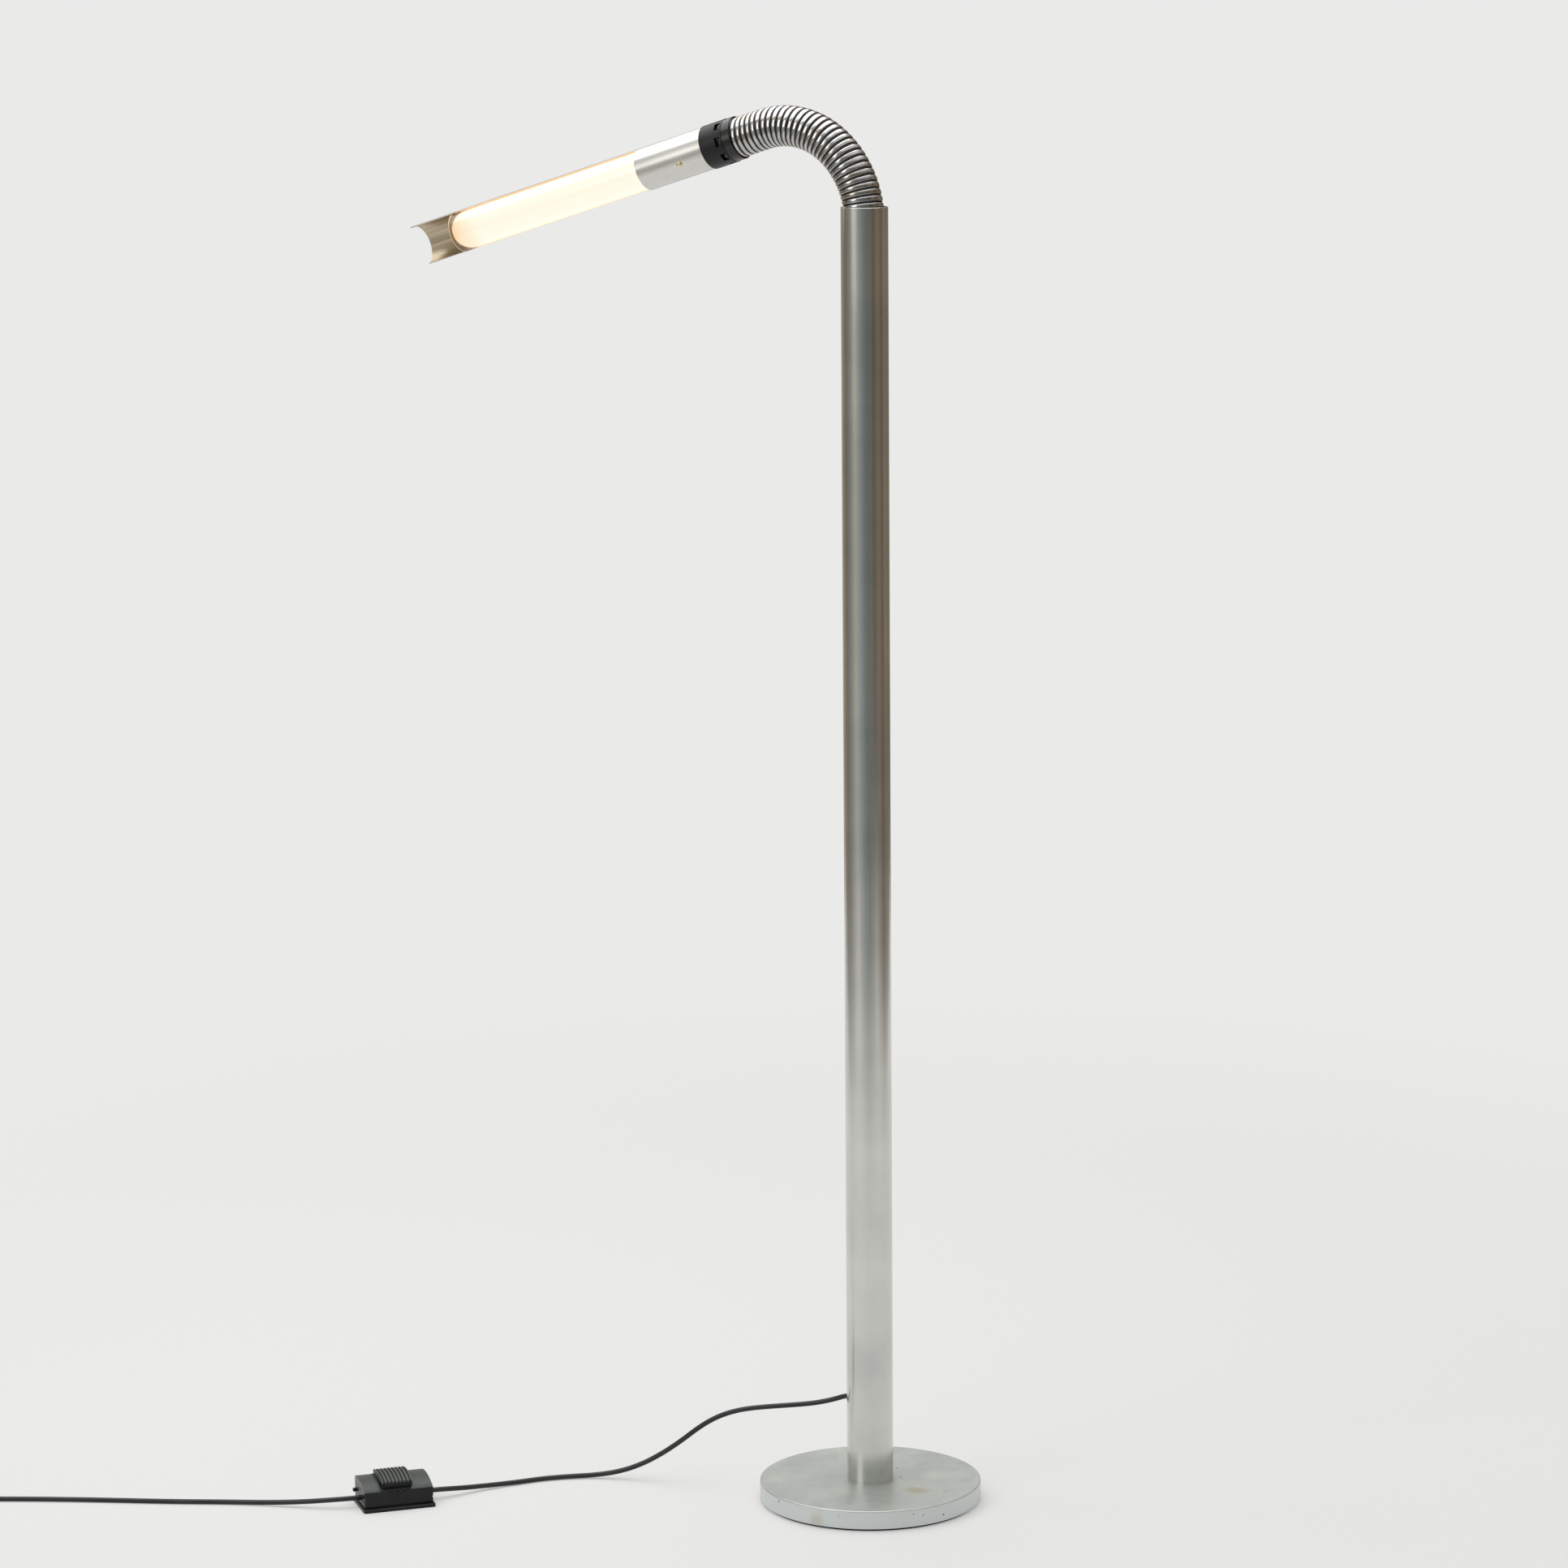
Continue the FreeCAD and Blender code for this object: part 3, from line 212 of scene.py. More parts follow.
def coilPoints(sizes):
    # spiral in on the floor, climb one layer in the half turn about the reversal, spiral out on top
    count = int(sizes["coilTurns"] * sizes["pointsPerTurn"]) + 1
    angle = np.linspace(0, sizes["coilTurns"] * 2 * np.pi, count)
    reversal = sizes["coilReversal"] * 2 * np.pi
    drift = sizes["coilStep"] / (2 * np.pi)
    radius = (sizes["coilRadius"] - drift * (reversal - np.abs(angle - reversal))) * sizes["coilSpread"]
    climb = np.clip((angle - (reversal - np.pi / 2)) / np.pi, 0, 1)
    height = cordRadius + sizes["floorGap"] + sizes["coilLayer"] * climb**2 * (3 - 2 * climb)
    x = sizes["coilMiddle"][0] - radius * np.sin(angle)
    y = sizes["coilMiddle"][1] - radius * np.cos(angle)
    return np.stack([x, y, height], axis=1).tolist()


toSwitch = [
    exitPoint,
    (-27, 26.5, 107.4),
    (-40, 32.5, 101.6),
    (-59, 37, 96.4),
    (-81, 41, 93.2),
    (-106, 45, 90.4),
    (-131, 49, 87.2),
    (-152, 52.4, 82.2),
    (-171, 55.4, 74),
    (-188.5, 58.4, 62.4),
    (-207.5, 61.4, 46.6),
    (-229.5, 65, 30.6),
    (-252.5, 68.4, 17.4),
    (-276, 71.4, 8.6),
    (-302, 73.6, 3.9),
    (-331, 72, 2.85),
    (-360, 64.6, 2.85),
    (-385, 52, 3),
    (-407, 41.2, 3.7),
    (-427, 29.6, 5.1),
    (-443, 18.6, 6.9),
    (-457, 9, 8.9),
    onSwitch(cordSizes["straightReach"]),
    onSwitch(cordSizes["clampReach"]),
]
fromSwitch = [
    onSwitch(-cordSizes["clampReach"]),
    onSwitch(-cordSizes["straightReach"]),
    (-584, -33.6, 9.8),
    (-606, -31, 7.4),
    (-633, -26.6, 5),
    (-664, -21.6, 3.3),
    (-700, -18, 2.85),
    (-740, -16.8, 2.8),
    (-782, -14.4, 2.8),
    (-826, -10.8, 2.8),
    (-869, -7.8, 2.8),
    (-911, -6, 2.8),
    (-949, -5.4, 2.8),
    (-981, -5.1, 2.8),
]
coilEndX, coilEndY = (cordSizes["coilMiddle"][k] + cordSizes["coilEnd"][k] for k in (0, 1))
toPlug = [
    (coilEndX + 0.1, coilEndY + 13, 8.65),
    (coilEndX + 1.5, coilEndY + 28, 7.85),
    (coilEndX + 2.4, coilEndY + 44, 7.0),
    (coilEndX + 2.5, coilEndY + 58, 6.85),
]
# up inside the pole, drawn in to its middle line and loose on the way
upPole = [
    exitPoint,
    (-8.2, 8.2, 110),
    (0.7, -0.7, 122),
    (3.5, -3.5, 144),
    (2.8, -2.8, 190),
    (0.2, -0.2, 600),
    (0, 0, 1000),
    (0, 0, 1372),
]


def cordCurve(name, points):
    # a round flex along one smooth spline whose control points are the route's points
    curve = bpy.data.curves.new(name, "CURVE")
    curve.dimensions = "3D"
    curve.bevel_depth = cordRadius * mm
    curve.bevel_resolution = cordSizes["roundSteps"]
    curve.use_fill_caps = True
    spline = curve.splines.new("NURBS")
    spline.points.add(len(points) - 1)
    flat = np.concatenate([np.array(points, dtype=float) * mm, np.ones((len(points), 1))], axis=1)
    spline.points.foreach_set("co", flat.ravel())
    spline.order_u = 3
    spline.use_endpoint_u = True
    spline.resolution_u = cordSizes["alongSteps"]
    piece = bpy.data.objects.new(name, curve)
    scene.collection.objects.link(piece)
    return piece


flexToSwitch = cordCurve("flexToSwitch", toSwitch)
flexToPlug = cordCurve("flexToPlug", fromSwitch + coilPoints(cordSizes) + toPlug)
poleLead = cordCurve("poleLead", upPole)
print("cords laid")

# the gooseneck's line and its strip, in millimetres and degrees; turns are counted from the first joint
hoseSizes = {
    "azimuth": 152,
    "bendStart": 1384,
    "lowerRadius": 102,
    "lowerTurn": 50,
    "upperRadius": 88,
    "upperTurn": 57,
    "firstJoint": 16,
    "pitch": 6.25,
    "turnsPerSection": 3,
    "jointCount": 9,
    "firstTurn": -3,
    "lastTurn": 32,
    "leadStart": -11,
    "leadStop": 216,
    "leadRings": 13,
    "leadSides": 16,
    "around": 96,
    "perTurn": 25,
    # one turn of strip, as (share of the pitch, radius, share clear of the painted groove shade): groove,
    # domed crown, groove, inner hook
    "profile": [
        (0.0, 20.2, 0.0),
        (0.04, 20.85, 0.3),
        (0.08, 21.22, 1.0),
        (0.16, 21.4, 1.0),
        (0.28, 21.48, 1.0),
        (0.4, 21.5, 1.0),
        (0.52, 21.46, 1.0),
        (0.64, 21.3, 1.0),
        (0.7, 21.05, 1.0),
        (0.74, 20.7, 0.3),
        (0.78, 20.2, 0.0),
        (0.84, 20.2, 0.0),
        (0.88, 20.62, 0.22),
        (0.92, 20.62, 0.22),
        (0.96, 20.2, 0.0),
        (1.0, 20.2, 0.0),
    ],
}


def neckLine(along, sizes):
    # the hose's middle line by arc length: upright, lower arc, tighter upper arc, straight; returns place,
    # the direction to the inside of the bend, the level direction across it, and the direction of travel
    along = np.asarray(along, dtype=float)
    lowTurn, highTurn = math.radians(sizes["lowerTurn"]), math.radians(sizes["upperTurn"])
    lowR, highR = sizes["lowerRadius"], sizes["upperRadius"]
    lean = np.clip(along / lowR, 0, lowTurn)
    rest = np.clip(along - lowR * lowTurn, 0, None)
    more = np.clip(rest / highR, 0, highTurn)
    onward = np.clip(rest - highR * highTurn, 0, None) + np.minimum(along, 0)
    total = lean + more
    out = lowR * (1 - np.cos(lean)) + highR * (np.cos(lean) - np.cos(total)) + onward * np.sin(total)
    rise = lowR * np.sin(lean) + highR * (np.sin(total) - np.sin(lean)) + onward * np.cos(total)
    azimuth = math.radians(sizes["azimuth"])
    flat = np.array([math.cos(azimuth), math.sin(azimuth), 0])
    lift = np.array([0, 0, 1])
    level = np.array([-math.sin(azimuth), math.cos(azimuth), 0])
    place = out[..., None] * flat + (sizes["bendStart"] + rise)[..., None] * lift
    travel = np.sin(total)[..., None] * flat + np.cos(total)[..., None] * lift
    inside = np.cos(total)[..., None] * flat - np.sin(total)[..., None] * lift
    return place, inside, np.broadcast_to(level, place.shape), travel


# the head's own axis starts where the seen hose ends; stations along it in millimetres
headSizes = {"seen": 207, "roll": 67, "shadeInner": 22, "bulbEnd": 374, "leadStations": (10, 24, 38, 58)}
headPlace, headInside, headLevel, headAlong = (
    Vector(part) for part in neckLine(np.array(float(headSizes["seen"])), hoseSizes)
)
headRoll = math.radians(headSizes["roll"])
shadeX = headInside * math.cos(headRoll) + headLevel * math.sin(headRoll)
shadeY = headLevel * math.cos(headRoll) - headInside * math.sin(headRoll)
shadeTurn = tuple(Matrix((shadeX, shadeY, headAlong)).transposed().to_euler())
shadePlace = tuple(headPlace * mm)
domeTip = tuple((headPlace + headAlong * headSizes["bulbEnd"]) * mm)


def anodisedAluminium(name, sizes):
    # drawn aluminium tube, ground lengthways and anodised clear: satin, with fine lines along its length
    material, tree = newMaterial(name)
    where = addNode(tree, "ShaderNodeTexCoord")
    own = addNode(
        tree,
        "ShaderNodeMapping",
        {"Vector": (where, "Object"), "Location": sizes["place"], "Rotation": sizes["turn"]},
        vector_type="TEXTURE",
    )
    stretch = addNode(tree, "ShaderNodeMapping", {"Vector": (own, 0), "Scale": (1, 1, sizes["stretch"])})
    # grinding lines are about 0.1 mm apart, and are drawn coarser so that they show
    grain = addNode(
        tree,
        "ShaderNodeTexNoise",
        {"Vector": (stretch, 0), "Scale": 1 / (sizes["lineGap"] * mm), "Detail": 3, "Roughness": 0.6},
    )
    cloud = addNode(
        tree, "ShaderNodeTexNoise", {"Vector": (own, 0), "Scale": sizes["cloudScale"], "Detail": 4}
    )
    tone = setRamp(
        addNode(tree, "ShaderNodeValToRGB", {"Fac": (cloud, 0)}),
        [(0.32, sizes["dark"]), (0.5, sizes["middle"]), (0.68, sizes["light"])],
    )
    colour = (tone, 0)
    spread = sizes["roughSpread"]
    rough = addNode(
        tree,
        "ShaderNodeMapRange",
        {"Value": (grain, 0), "To Min": sizes["roughness"] - spread, "To Max": sizes["roughness"] + spread},
    )
    roughness = (rough, 0)
    if "bore" in sizes:
        # inside the bore the metal is left as drawn: dull, streaked along its length, with one light scratch;
        # its brown is painted warm light from the lamp
        across = addNode(tree, "ShaderNodeVectorMath", {0: (own, 0), 1: (1, 1, 0)}, operation="MULTIPLY")
        radius = addNode(tree, "ShaderNodeVectorMath", {0: (across, 0)}, operation="LENGTH")
        outside = addNode(
            tree, "ShaderNodeMath", {0: (radius, "Value"), 1: sizes["bore"] * mm}, operation="GREATER_THAN"
        )
        streak = addNode(
            tree,
            "ShaderNodeTexNoise",
            {"Vector": (stretch, 0), "Scale": 1 / (sizes["streakGap"] * mm), "Detail": 4},
        )
        warmLitBore = setRamp(
            addNode(tree, "ShaderNodeValToRGB", {"Fac": (streak, 0)}),
            [(0.35, sizes["boreDark"]), (0.65, sizes["boreLight"])],
        )
        fromMark = addNode(
            tree,
            "ShaderNodeVectorMath",
            {0: (own, 0), 1: tuple(v * mm for v in sizes["scratch"])},
            operation="SUBTRACT",
        )
        drawnOut = addNode(
            tree,
            "ShaderNodeVectorMath",
            {0: (fromMark, 0), 1: tuple(1 / (v * mm) for v in sizes["scratchReach"])},
            operation="MULTIPLY",
        )
        far = addNode(tree, "ShaderNodeVectorMath", {0: (drawnOut, 0)}, operation="LENGTH")
        mark = addNode(
            tree,
            "ShaderNodeMapRange",
            {"Value": (far, "Value"), "From Min": 0.5, "From Max": 1.0, "To Min": 0.9, "To Max": 0.0},
        )
        bored = addNode(
            tree,
            "ShaderNodeMix",
            {"Factor": (mark, 0), "A": (warmLitBore, 0), "B": srgbToLinear(sizes["scratchTone"])},
            data_type="RGBA",
        )
        both = addNode(
            tree, "ShaderNodeMix", {"Factor": (outside, 0), "A": (bored, 2), "B": (tone, 0)}, data_type="RGBA"
        )
        colour = (both, 2)
        duller = addNode(
            tree,
            "ShaderNodeMath",
            {0: (outside, 0), 1: -sizes["boreDull"], 2: sizes["boreDull"]},
            operation="MULTIPLY_ADD",
        )
        total = addNode(tree, "ShaderNodeMath", {0: (rough, 0), 1: (duller, 0)}, operation="ADD")
        roughness = (total, 0)
    bump = addNode(
        tree,
        "ShaderNodeBump",
        {"Height": (grain, 0), "Strength": sizes["bump"], "Distance": sizes["lineDepth"] * mm},
    )
    surface = addNode(
        tree,
        "ShaderNodeBsdfPrincipled",
        {"Base Color": colour, "Metallic": 1.0, "Roughness": roughness, "Normal": (bump, 0)},
    )
    if "bore" in sizes:
        # the bore and the cut edges beside the lamp shine with its light, whiter on the lower side
        inWall = addNode(
            tree, "ShaderNodeMath", {0: (radius, "Value"), 1: sizes["litRadius"] * mm}, operation="LESS_THAN"
        )
        along = addNode(tree, "ShaderNodeSeparateXYZ", {"Vector": (own, 0)})
        start, stop = (v * mm for v in sizes["litReach"])
        beside = addNode(
            tree,
            "ShaderNodeMapRange",
            {"Value": (along, "Z"), "From Min": stop, "From Max": start},
            interpolation_type="SMOOTHSTEP",
        )
        lit = addNode(tree, "ShaderNodeMath", {0: (inWall, 0), 1: (beside, 0)}, operation="MULTIPLY")
        acrossBore = sizes["litAcross"] * mm
        upDown = addNode(
            tree,
            "ShaderNodeMapRange",
            {"Value": (along, "Y"), "From Min": -acrossBore, "From Max": acrossBore},
        )
        tint = setRamp(
            addNode(tree, "ShaderNodeValToRGB", {"Fac": (upDown, 0)}),
            [(0.0, sizes["litLower"]), (1.0, sizes["litUpper"])],
        )
        glow = addNode(
            tree, "ShaderNodeMix", {"Factor": (lit, 0), "A": (0, 0, 0, 1), "B": (tint, 0)}, data_type="RGBA"
        )
        tree.links.new(glow.outputs[2], surface.inputs["Emission Color"])
        surface.inputs["Emission Strength"].default_value = 1.0
        material.cycles.emission_sampling = "NONE"  # too weak to count as a lamp
    finishMaterial(tree, surface)
    return material


poleFinish = {
    "place": (0, 0, 0),
    "turn": (0, 0, 0),
    "stretch": 0.01,
    "lineGap": 0.9,
    "lineDepth": 0.02,
    "cloudScale": 9,  # soft clouds about 110 mm apart
    "dark": "#c6c7c3",
    "middle": "#d2d2ce",
    "light": "#dbdbd6",
    "roughness": 0.22,
    "roughSpread": 0.06,
    "bump": 0.25,
}


def satinSilver(sizes):
    # silver enamel sprayed on a turned steel disc: soft, faintly blotchy, with old specks and rust stains
    material, tree = newMaterial("silverEnamelledSteel")
    place = addNode(tree, "ShaderNodeTexCoord")
    blotch = addNode(
        tree,
        "ShaderNodeTexNoise",
        {"Vector": (place, "Object"), "Scale": sizes["blotchScale"], "Detail": 6, "Roughness": 0.62},
    )
    tone = setRamp(
        addNode(tree, "ShaderNodeValToRGB", {"Fac": (blotch, 0)}),
        [(0.3, sizes["dark"]), (0.5, sizes["middle"]), (0.72, sizes["light"])],
    )
    # the side under the top's rounded edge is painted lighter, standing in for the floor's light falling on
    # it
    parts = addNode(tree, "ShaderNodeSeparateXYZ", {"Vector": (place, "Object")})
    rim = addNode(
        tree,
        "ShaderNodeMapRange",
        {
            "Value": (parts, "Z"),
            "From Min": sizes["rimTop"] * mm,
            "From Max": (sizes["rimTop"] - 1) * mm,
            "To Max": sizes["sideLightShare"],
        },
    )
    sideLit = addNode(
        tree,
        "ShaderNodeMix",
        {"Factor": (rim, 0), "A": (tone, 0), "B": srgbToLinear(sizes["rim"])},
        data_type="RGBA",
    )
    fine = addNode(
        tree,
        "ShaderNodeTexNoise",
        {"Vector": (place, "Object"), "Scale": 1 / (sizes["sprayGrain"] * mm), "Detail": 2},
    )
    # a stain fades out round its spot, and its edge wanders with the blotches
    stainSum = None
    for spot, reach, strength in sizes["stains"]:
        away = addNode(
            tree,
            "ShaderNodeVectorMath",
            {0: (place, "Object"), 1: tuple(v * mm for v in spot)},
            operation="DISTANCE",
        )
        total = addNode(
            tree,
            "ShaderNodeMath",
            {0: (blotch, 0), 1: reach * 1.4 * mm, 2: (away, "Value")},
            operation="MULTIPLY_ADD",
        )
        near = addNode(
            tree,
            "ShaderNodeMapRange",
            {
                "Value": (total, 0),
                "From Min": reach * 0.9 * mm,
                "From Max": reach * 1.9 * mm,
                "To Min": strength,
                "To Max": 0.0,
            },
            interpolation_type="SMOOTHSTEP",
        )
        if stainSum is None:
            stainSum = near
        else:
            stainSum = addNode(tree, "ShaderNodeMath", {0: (stainSum, 0), 1: (near, 0)}, operation="MAXIMUM")
    stained = addNode(
        tree,
        "ShaderNodeMix",
        {"Factor": (stainSum, 0), "A": (sideLit, 2), "B": srgbToLinear(sizes["rust"])},
        data_type="RGBA",
    )
    # a small speck in the middle of a few of the cells, then the marks that are seen at their own places
    cells = addNode(
        tree,
        "ShaderNodeTexVoronoi",
        {"Vector": (place, "Object"), "Scale": sizes["speckScale"], "Randomness": 1},
    )
    speck = addNode(
        tree,
        "ShaderNodeMapRange",
        {"Value": (cells, "Distance"), "From Min": 0.03, "From Max": 0.055, "To Min": 1, "To Max": 0},
    )
    rare = addNode(tree, "ShaderNodeSeparateColor", {"Color": (cells, "Color")})
    chosen = addNode(
        tree, "ShaderNodeMath", {0: (rare, 0), 1: 1 - sizes["speckShare"]}, operation="GREATER_THAN"
    )
    specks = addNode(tree, "ShaderNodeMath", {0: (speck, 0), 1: (chosen, 0)}, operation="MULTIPLY")
    for spot, reach in sizes["marks"]:
        away = addNode(
            tree,
            "ShaderNodeVectorMath",
            {0: (place, "Object"), 1: tuple(v * mm for v in spot)},
            operation="DISTANCE",
        )
        near = addNode(
            tree,
            "ShaderNodeMapRange",
            {
                "Value": (away, "Value"),
                "From Min": reach * 0.6 * mm,
                "From Max": reach * 1.1 * mm,
                "To Min": 0.9,
                "To Max": 0.0,
            },
        )
        specks = addNode(tree, "ShaderNodeMath", {0: (specks, 0), 1: (near, 0)}, operation="MAXIMUM")
    colour = addNode(
        tree,
        "ShaderNodeMix",
        {"Factor": (specks, 0), "A": (stained, 2), "B": srgbToLinear(sizes["speck"])},
        data_type="RGBA",
    )
    rough = addNode(
        tree,
        "ShaderNodeMapRange",
        {"Value": (blotch, 0), "To Min": sizes["roughness"] - 0.05, "To Max": sizes["roughness"] + 0.07},
    )
    bump = addNode(
        tree,
        "ShaderNodeBump",
        {"Height": (fine, 0), "Strength": sizes["bump"], "Distance": sizes["sprayDepth"] * mm},
    )
    surface = addNode(
        tree,
        "ShaderNodeBsdfPrincipled",
        {
            "Base Color": (colour, 2),
            "Metallic": 0.7,
            "Roughness": (rough, 0),
            "Normal": (bump, 0),
            "Coat Weight": 0.15,
            "Coat Roughness": 0.25,
        },
    )
    finishMaterial(tree, surface)
    return material


def polishedMetal(name, hexText, roughness, warmHex, scale):
    # plated or plain metal with a soft polish, faintly clouded where it has been handled
    material, tree = newMaterial(name)
    place = addNode(tree, "ShaderNodeTexCoord")
    cloud = addNode(tree, "ShaderNodeTexNoise", {"Vector": (place, "Object"), "Scale": scale, "Detail": 4})
    tone = setRamp(
        addNode(tree, "ShaderNodeValToRGB", {"Fac": (cloud, 0)}), [(0.35, warmHex), (0.65, hexText)]
    )
    rough = addNode(
        tree,
        "ShaderNodeMapRange",
        {"Value": (cloud, 0), "To Min": roughness - 0.04, "To Max": roughness + 0.05},
    )
    surface = addNode(
        tree,
        "ShaderNodeBsdfPrincipled",
        {"Base Color": (tone, 0), "Metallic": 1.0, "Roughness": (rough, 0)},
    )
    finishMaterial(tree, surface)
    return material


sparkDepth = 0.06  # millimetres; the grain is drawn coarser than the mould's, so that it shows


def mouldedPlastic(name, sizes):
    # moulded plastic: the mould's fine spark texture, lighter and duller where it is rubbed, in patches of
    # one metre over rubScale, so 17 mm at 60; a piece may also have a dusty upper side lightened by painted
    # light, or a ribbed top with painted light and shade
    material, tree = newMaterial(name)
    place = addNode(tree, "ShaderNodeTexCoord")
    grain = addNode(
        tree,
        "ShaderNodeTexNoise",
        {"Vector": (place, "Object"), "Scale": 1 / (sizes["grainSize"] * mm), "Detail": 2},
    )
    rub = addNode(
        tree, "ShaderNodeTexNoise", {"Vector": (place, "Object"), "Scale": sizes["rubScale"], "Detail": 5}
    )
    tone = setRamp(
        addNode(tree, "ShaderNodeValToRGB", {"Fac": (rub, 0)}),
        [(0.35, sizes["dark"]), (0.7, sizes["light"])],
    )
    rough = addNode(
        tree,
        "ShaderNodeMapRange",
        {"Value": (rub, 0), "To Min": sizes["roughness"] - 0.08, "To Max": sizes["roughness"] + 0.1},
    )
    bump = addNode(
        tree, "ShaderNodeBump", {"Height": (grain, 0), "Strength": sizes["bump"], "Distance": sparkDepth * mm}
    )
    colour = (tone, 0)
    if "dustAndTopLight" in sizes:
        # the upper surfaces are speckled grey, nowhere quite clean: real dust, and painted light that makes
        # the top lighter than the sides
        dustAndTopLight = sizes["dustAndTopLight"]
        height = addNode(tree, "ShaderNodeSeparateXYZ", {"Vector": (place, "Object")})
        upper = addNode(
            tree,
            "ShaderNodeMapRange",
            {"Value": (height, "Z"), "From Min": dustAndTopLight["from"] * mm, "From Max": dustAndTopLight["full"] * mm},
        )
        speckle = addNode(
            tree,
            "ShaderNodeTexNoise",
            {
                "Vector": (place, "Object"),
                "Scale": 1 / (dustAndTopLight["speckSize"] * mm),
                "Detail": 3,
                "Roughness": 0.7,
            },
        )
        cover = addNode(
            tree,
            "ShaderNodeMapRange",
            {
                "Value": (speckle, 0),
                "From Min": 0.35,
                "From Max": 0.62,
                "To Min": dustAndTopLight["thinnest"],
                "To Max": 1.0,
            },
        )
        amount = addNode(tree, "ShaderNodeMath", {0: (upper, 0), 1: (cover, 0)}, operation="MULTIPLY")
        dustedLitTop = addNode(
            tree,
            "ShaderNodeMix",
            {"Factor": (amount, 0), "A": (tone, 0), "B": srgbToLinear(dustAndTopLight["tone"])},
            data_type="RGBA",
        )
        colour = (dustedLitTop, 2)
    if "ribs" in sizes:
        # across the ribbed top, one groove in each pitch: painted shade keeps it black, and painted light
        # from above makes the ribs pale
        ribs = sizes["ribs"]
        own = addNode(
            tree,
            "ShaderNodeMapping",
            {"Vector": (place, "Object"), "Location": ribs["place"], "Rotation": ribs["turn"]},
            vector_type="TEXTURE",
        )
        parts = addNode(tree, "ShaderNodeSeparateXYZ", {"Vector": (own, 0)})
        first, pitch, groove, above = (ribs[k] * mm for k in ("first", "pitch", "groove", "above"))
        fromFirst = addNode(tree, "ShaderNodeMath", {0: (parts, "X"), 1: first}, operation="SUBTRACT")
        within = addNode(tree, "ShaderNodeMath", {0: (fromFirst, 0), 1: pitch}, operation="FLOORED_MODULO")
        onRib = addNode(tree, "ShaderNodeMath", {0: (within, 0), 1: groove}, operation="GREATER_THAN")
        onTop = addNode(tree, "ShaderNodeMath", {0: (parts, "Z"), 1: above}, operation="GREATER_THAN")
        ribLightAndShade = addNode(
            tree,
            "ShaderNodeMix",
            {"Factor": (onRib, 0), "A": srgbToLinear(ribs["ribGrooveShade"]), "B": srgbToLinear(ribs["ribTopLight"])},
            data_type="RGBA",
        )
        both = addNode(
            tree, "ShaderNodeMix", {"Factor": (onTop, 0), "A": (tone, 0), "B": (ribLightAndShade, 2)}, data_type="RGBA"
        )
        colour = (both, 2)
    surface = addNode(
        tree,
        "ShaderNodeBsdfPrincipled",
        {
            "Base Color": colour,
            "Roughness": (rough, 0),
            "Normal": (bump, 0),
            "IOR": sizes.get("ior", 1.5),
        },
    )
    finishMaterial(tree, surface)
    return material


def opalGlass(sizes):
    # opal glass lit from inside: an even warm white, deepening to amber at the tip of the dome
    material, tree = newMaterial("opalGlassLit")
    place = addNode(tree, "ShaderNodeTexCoord")
    away = addNode(
        tree,
        "ShaderNodeVectorMath",
        {0: (place, "Object"), 1: sizes["domeTip"]},
        operation="DISTANCE",
    )
    start, stop = (v * mm for v in sizes["domeReach"])
    warm = addNode(
        tree,
        "ShaderNodeMapRange",
        {"Value": (away, "Value"), "From Min": start, "From Max": stop},
        interpolation_type="SMOOTHSTEP",
    )
    colour = setRamp(
        addNode(tree, "ShaderNodeValToRGB", {"Fac": (warm, 0)}),
        [(0.0, sizes["domeTint"]), (1.0, sizes["tint"])],
    )
    surface = addNode(
        tree,
        "ShaderNodeBsdfPrincipled",
        {
            "Base Color": srgbToLinear(sizes["unlit"]),
            "Roughness": 0.25,
            "Emission Color": (colour, 0),
            "Emission Strength": sizes["strength"],
        },
    )
    finishMaterial(tree, surface)
    return material


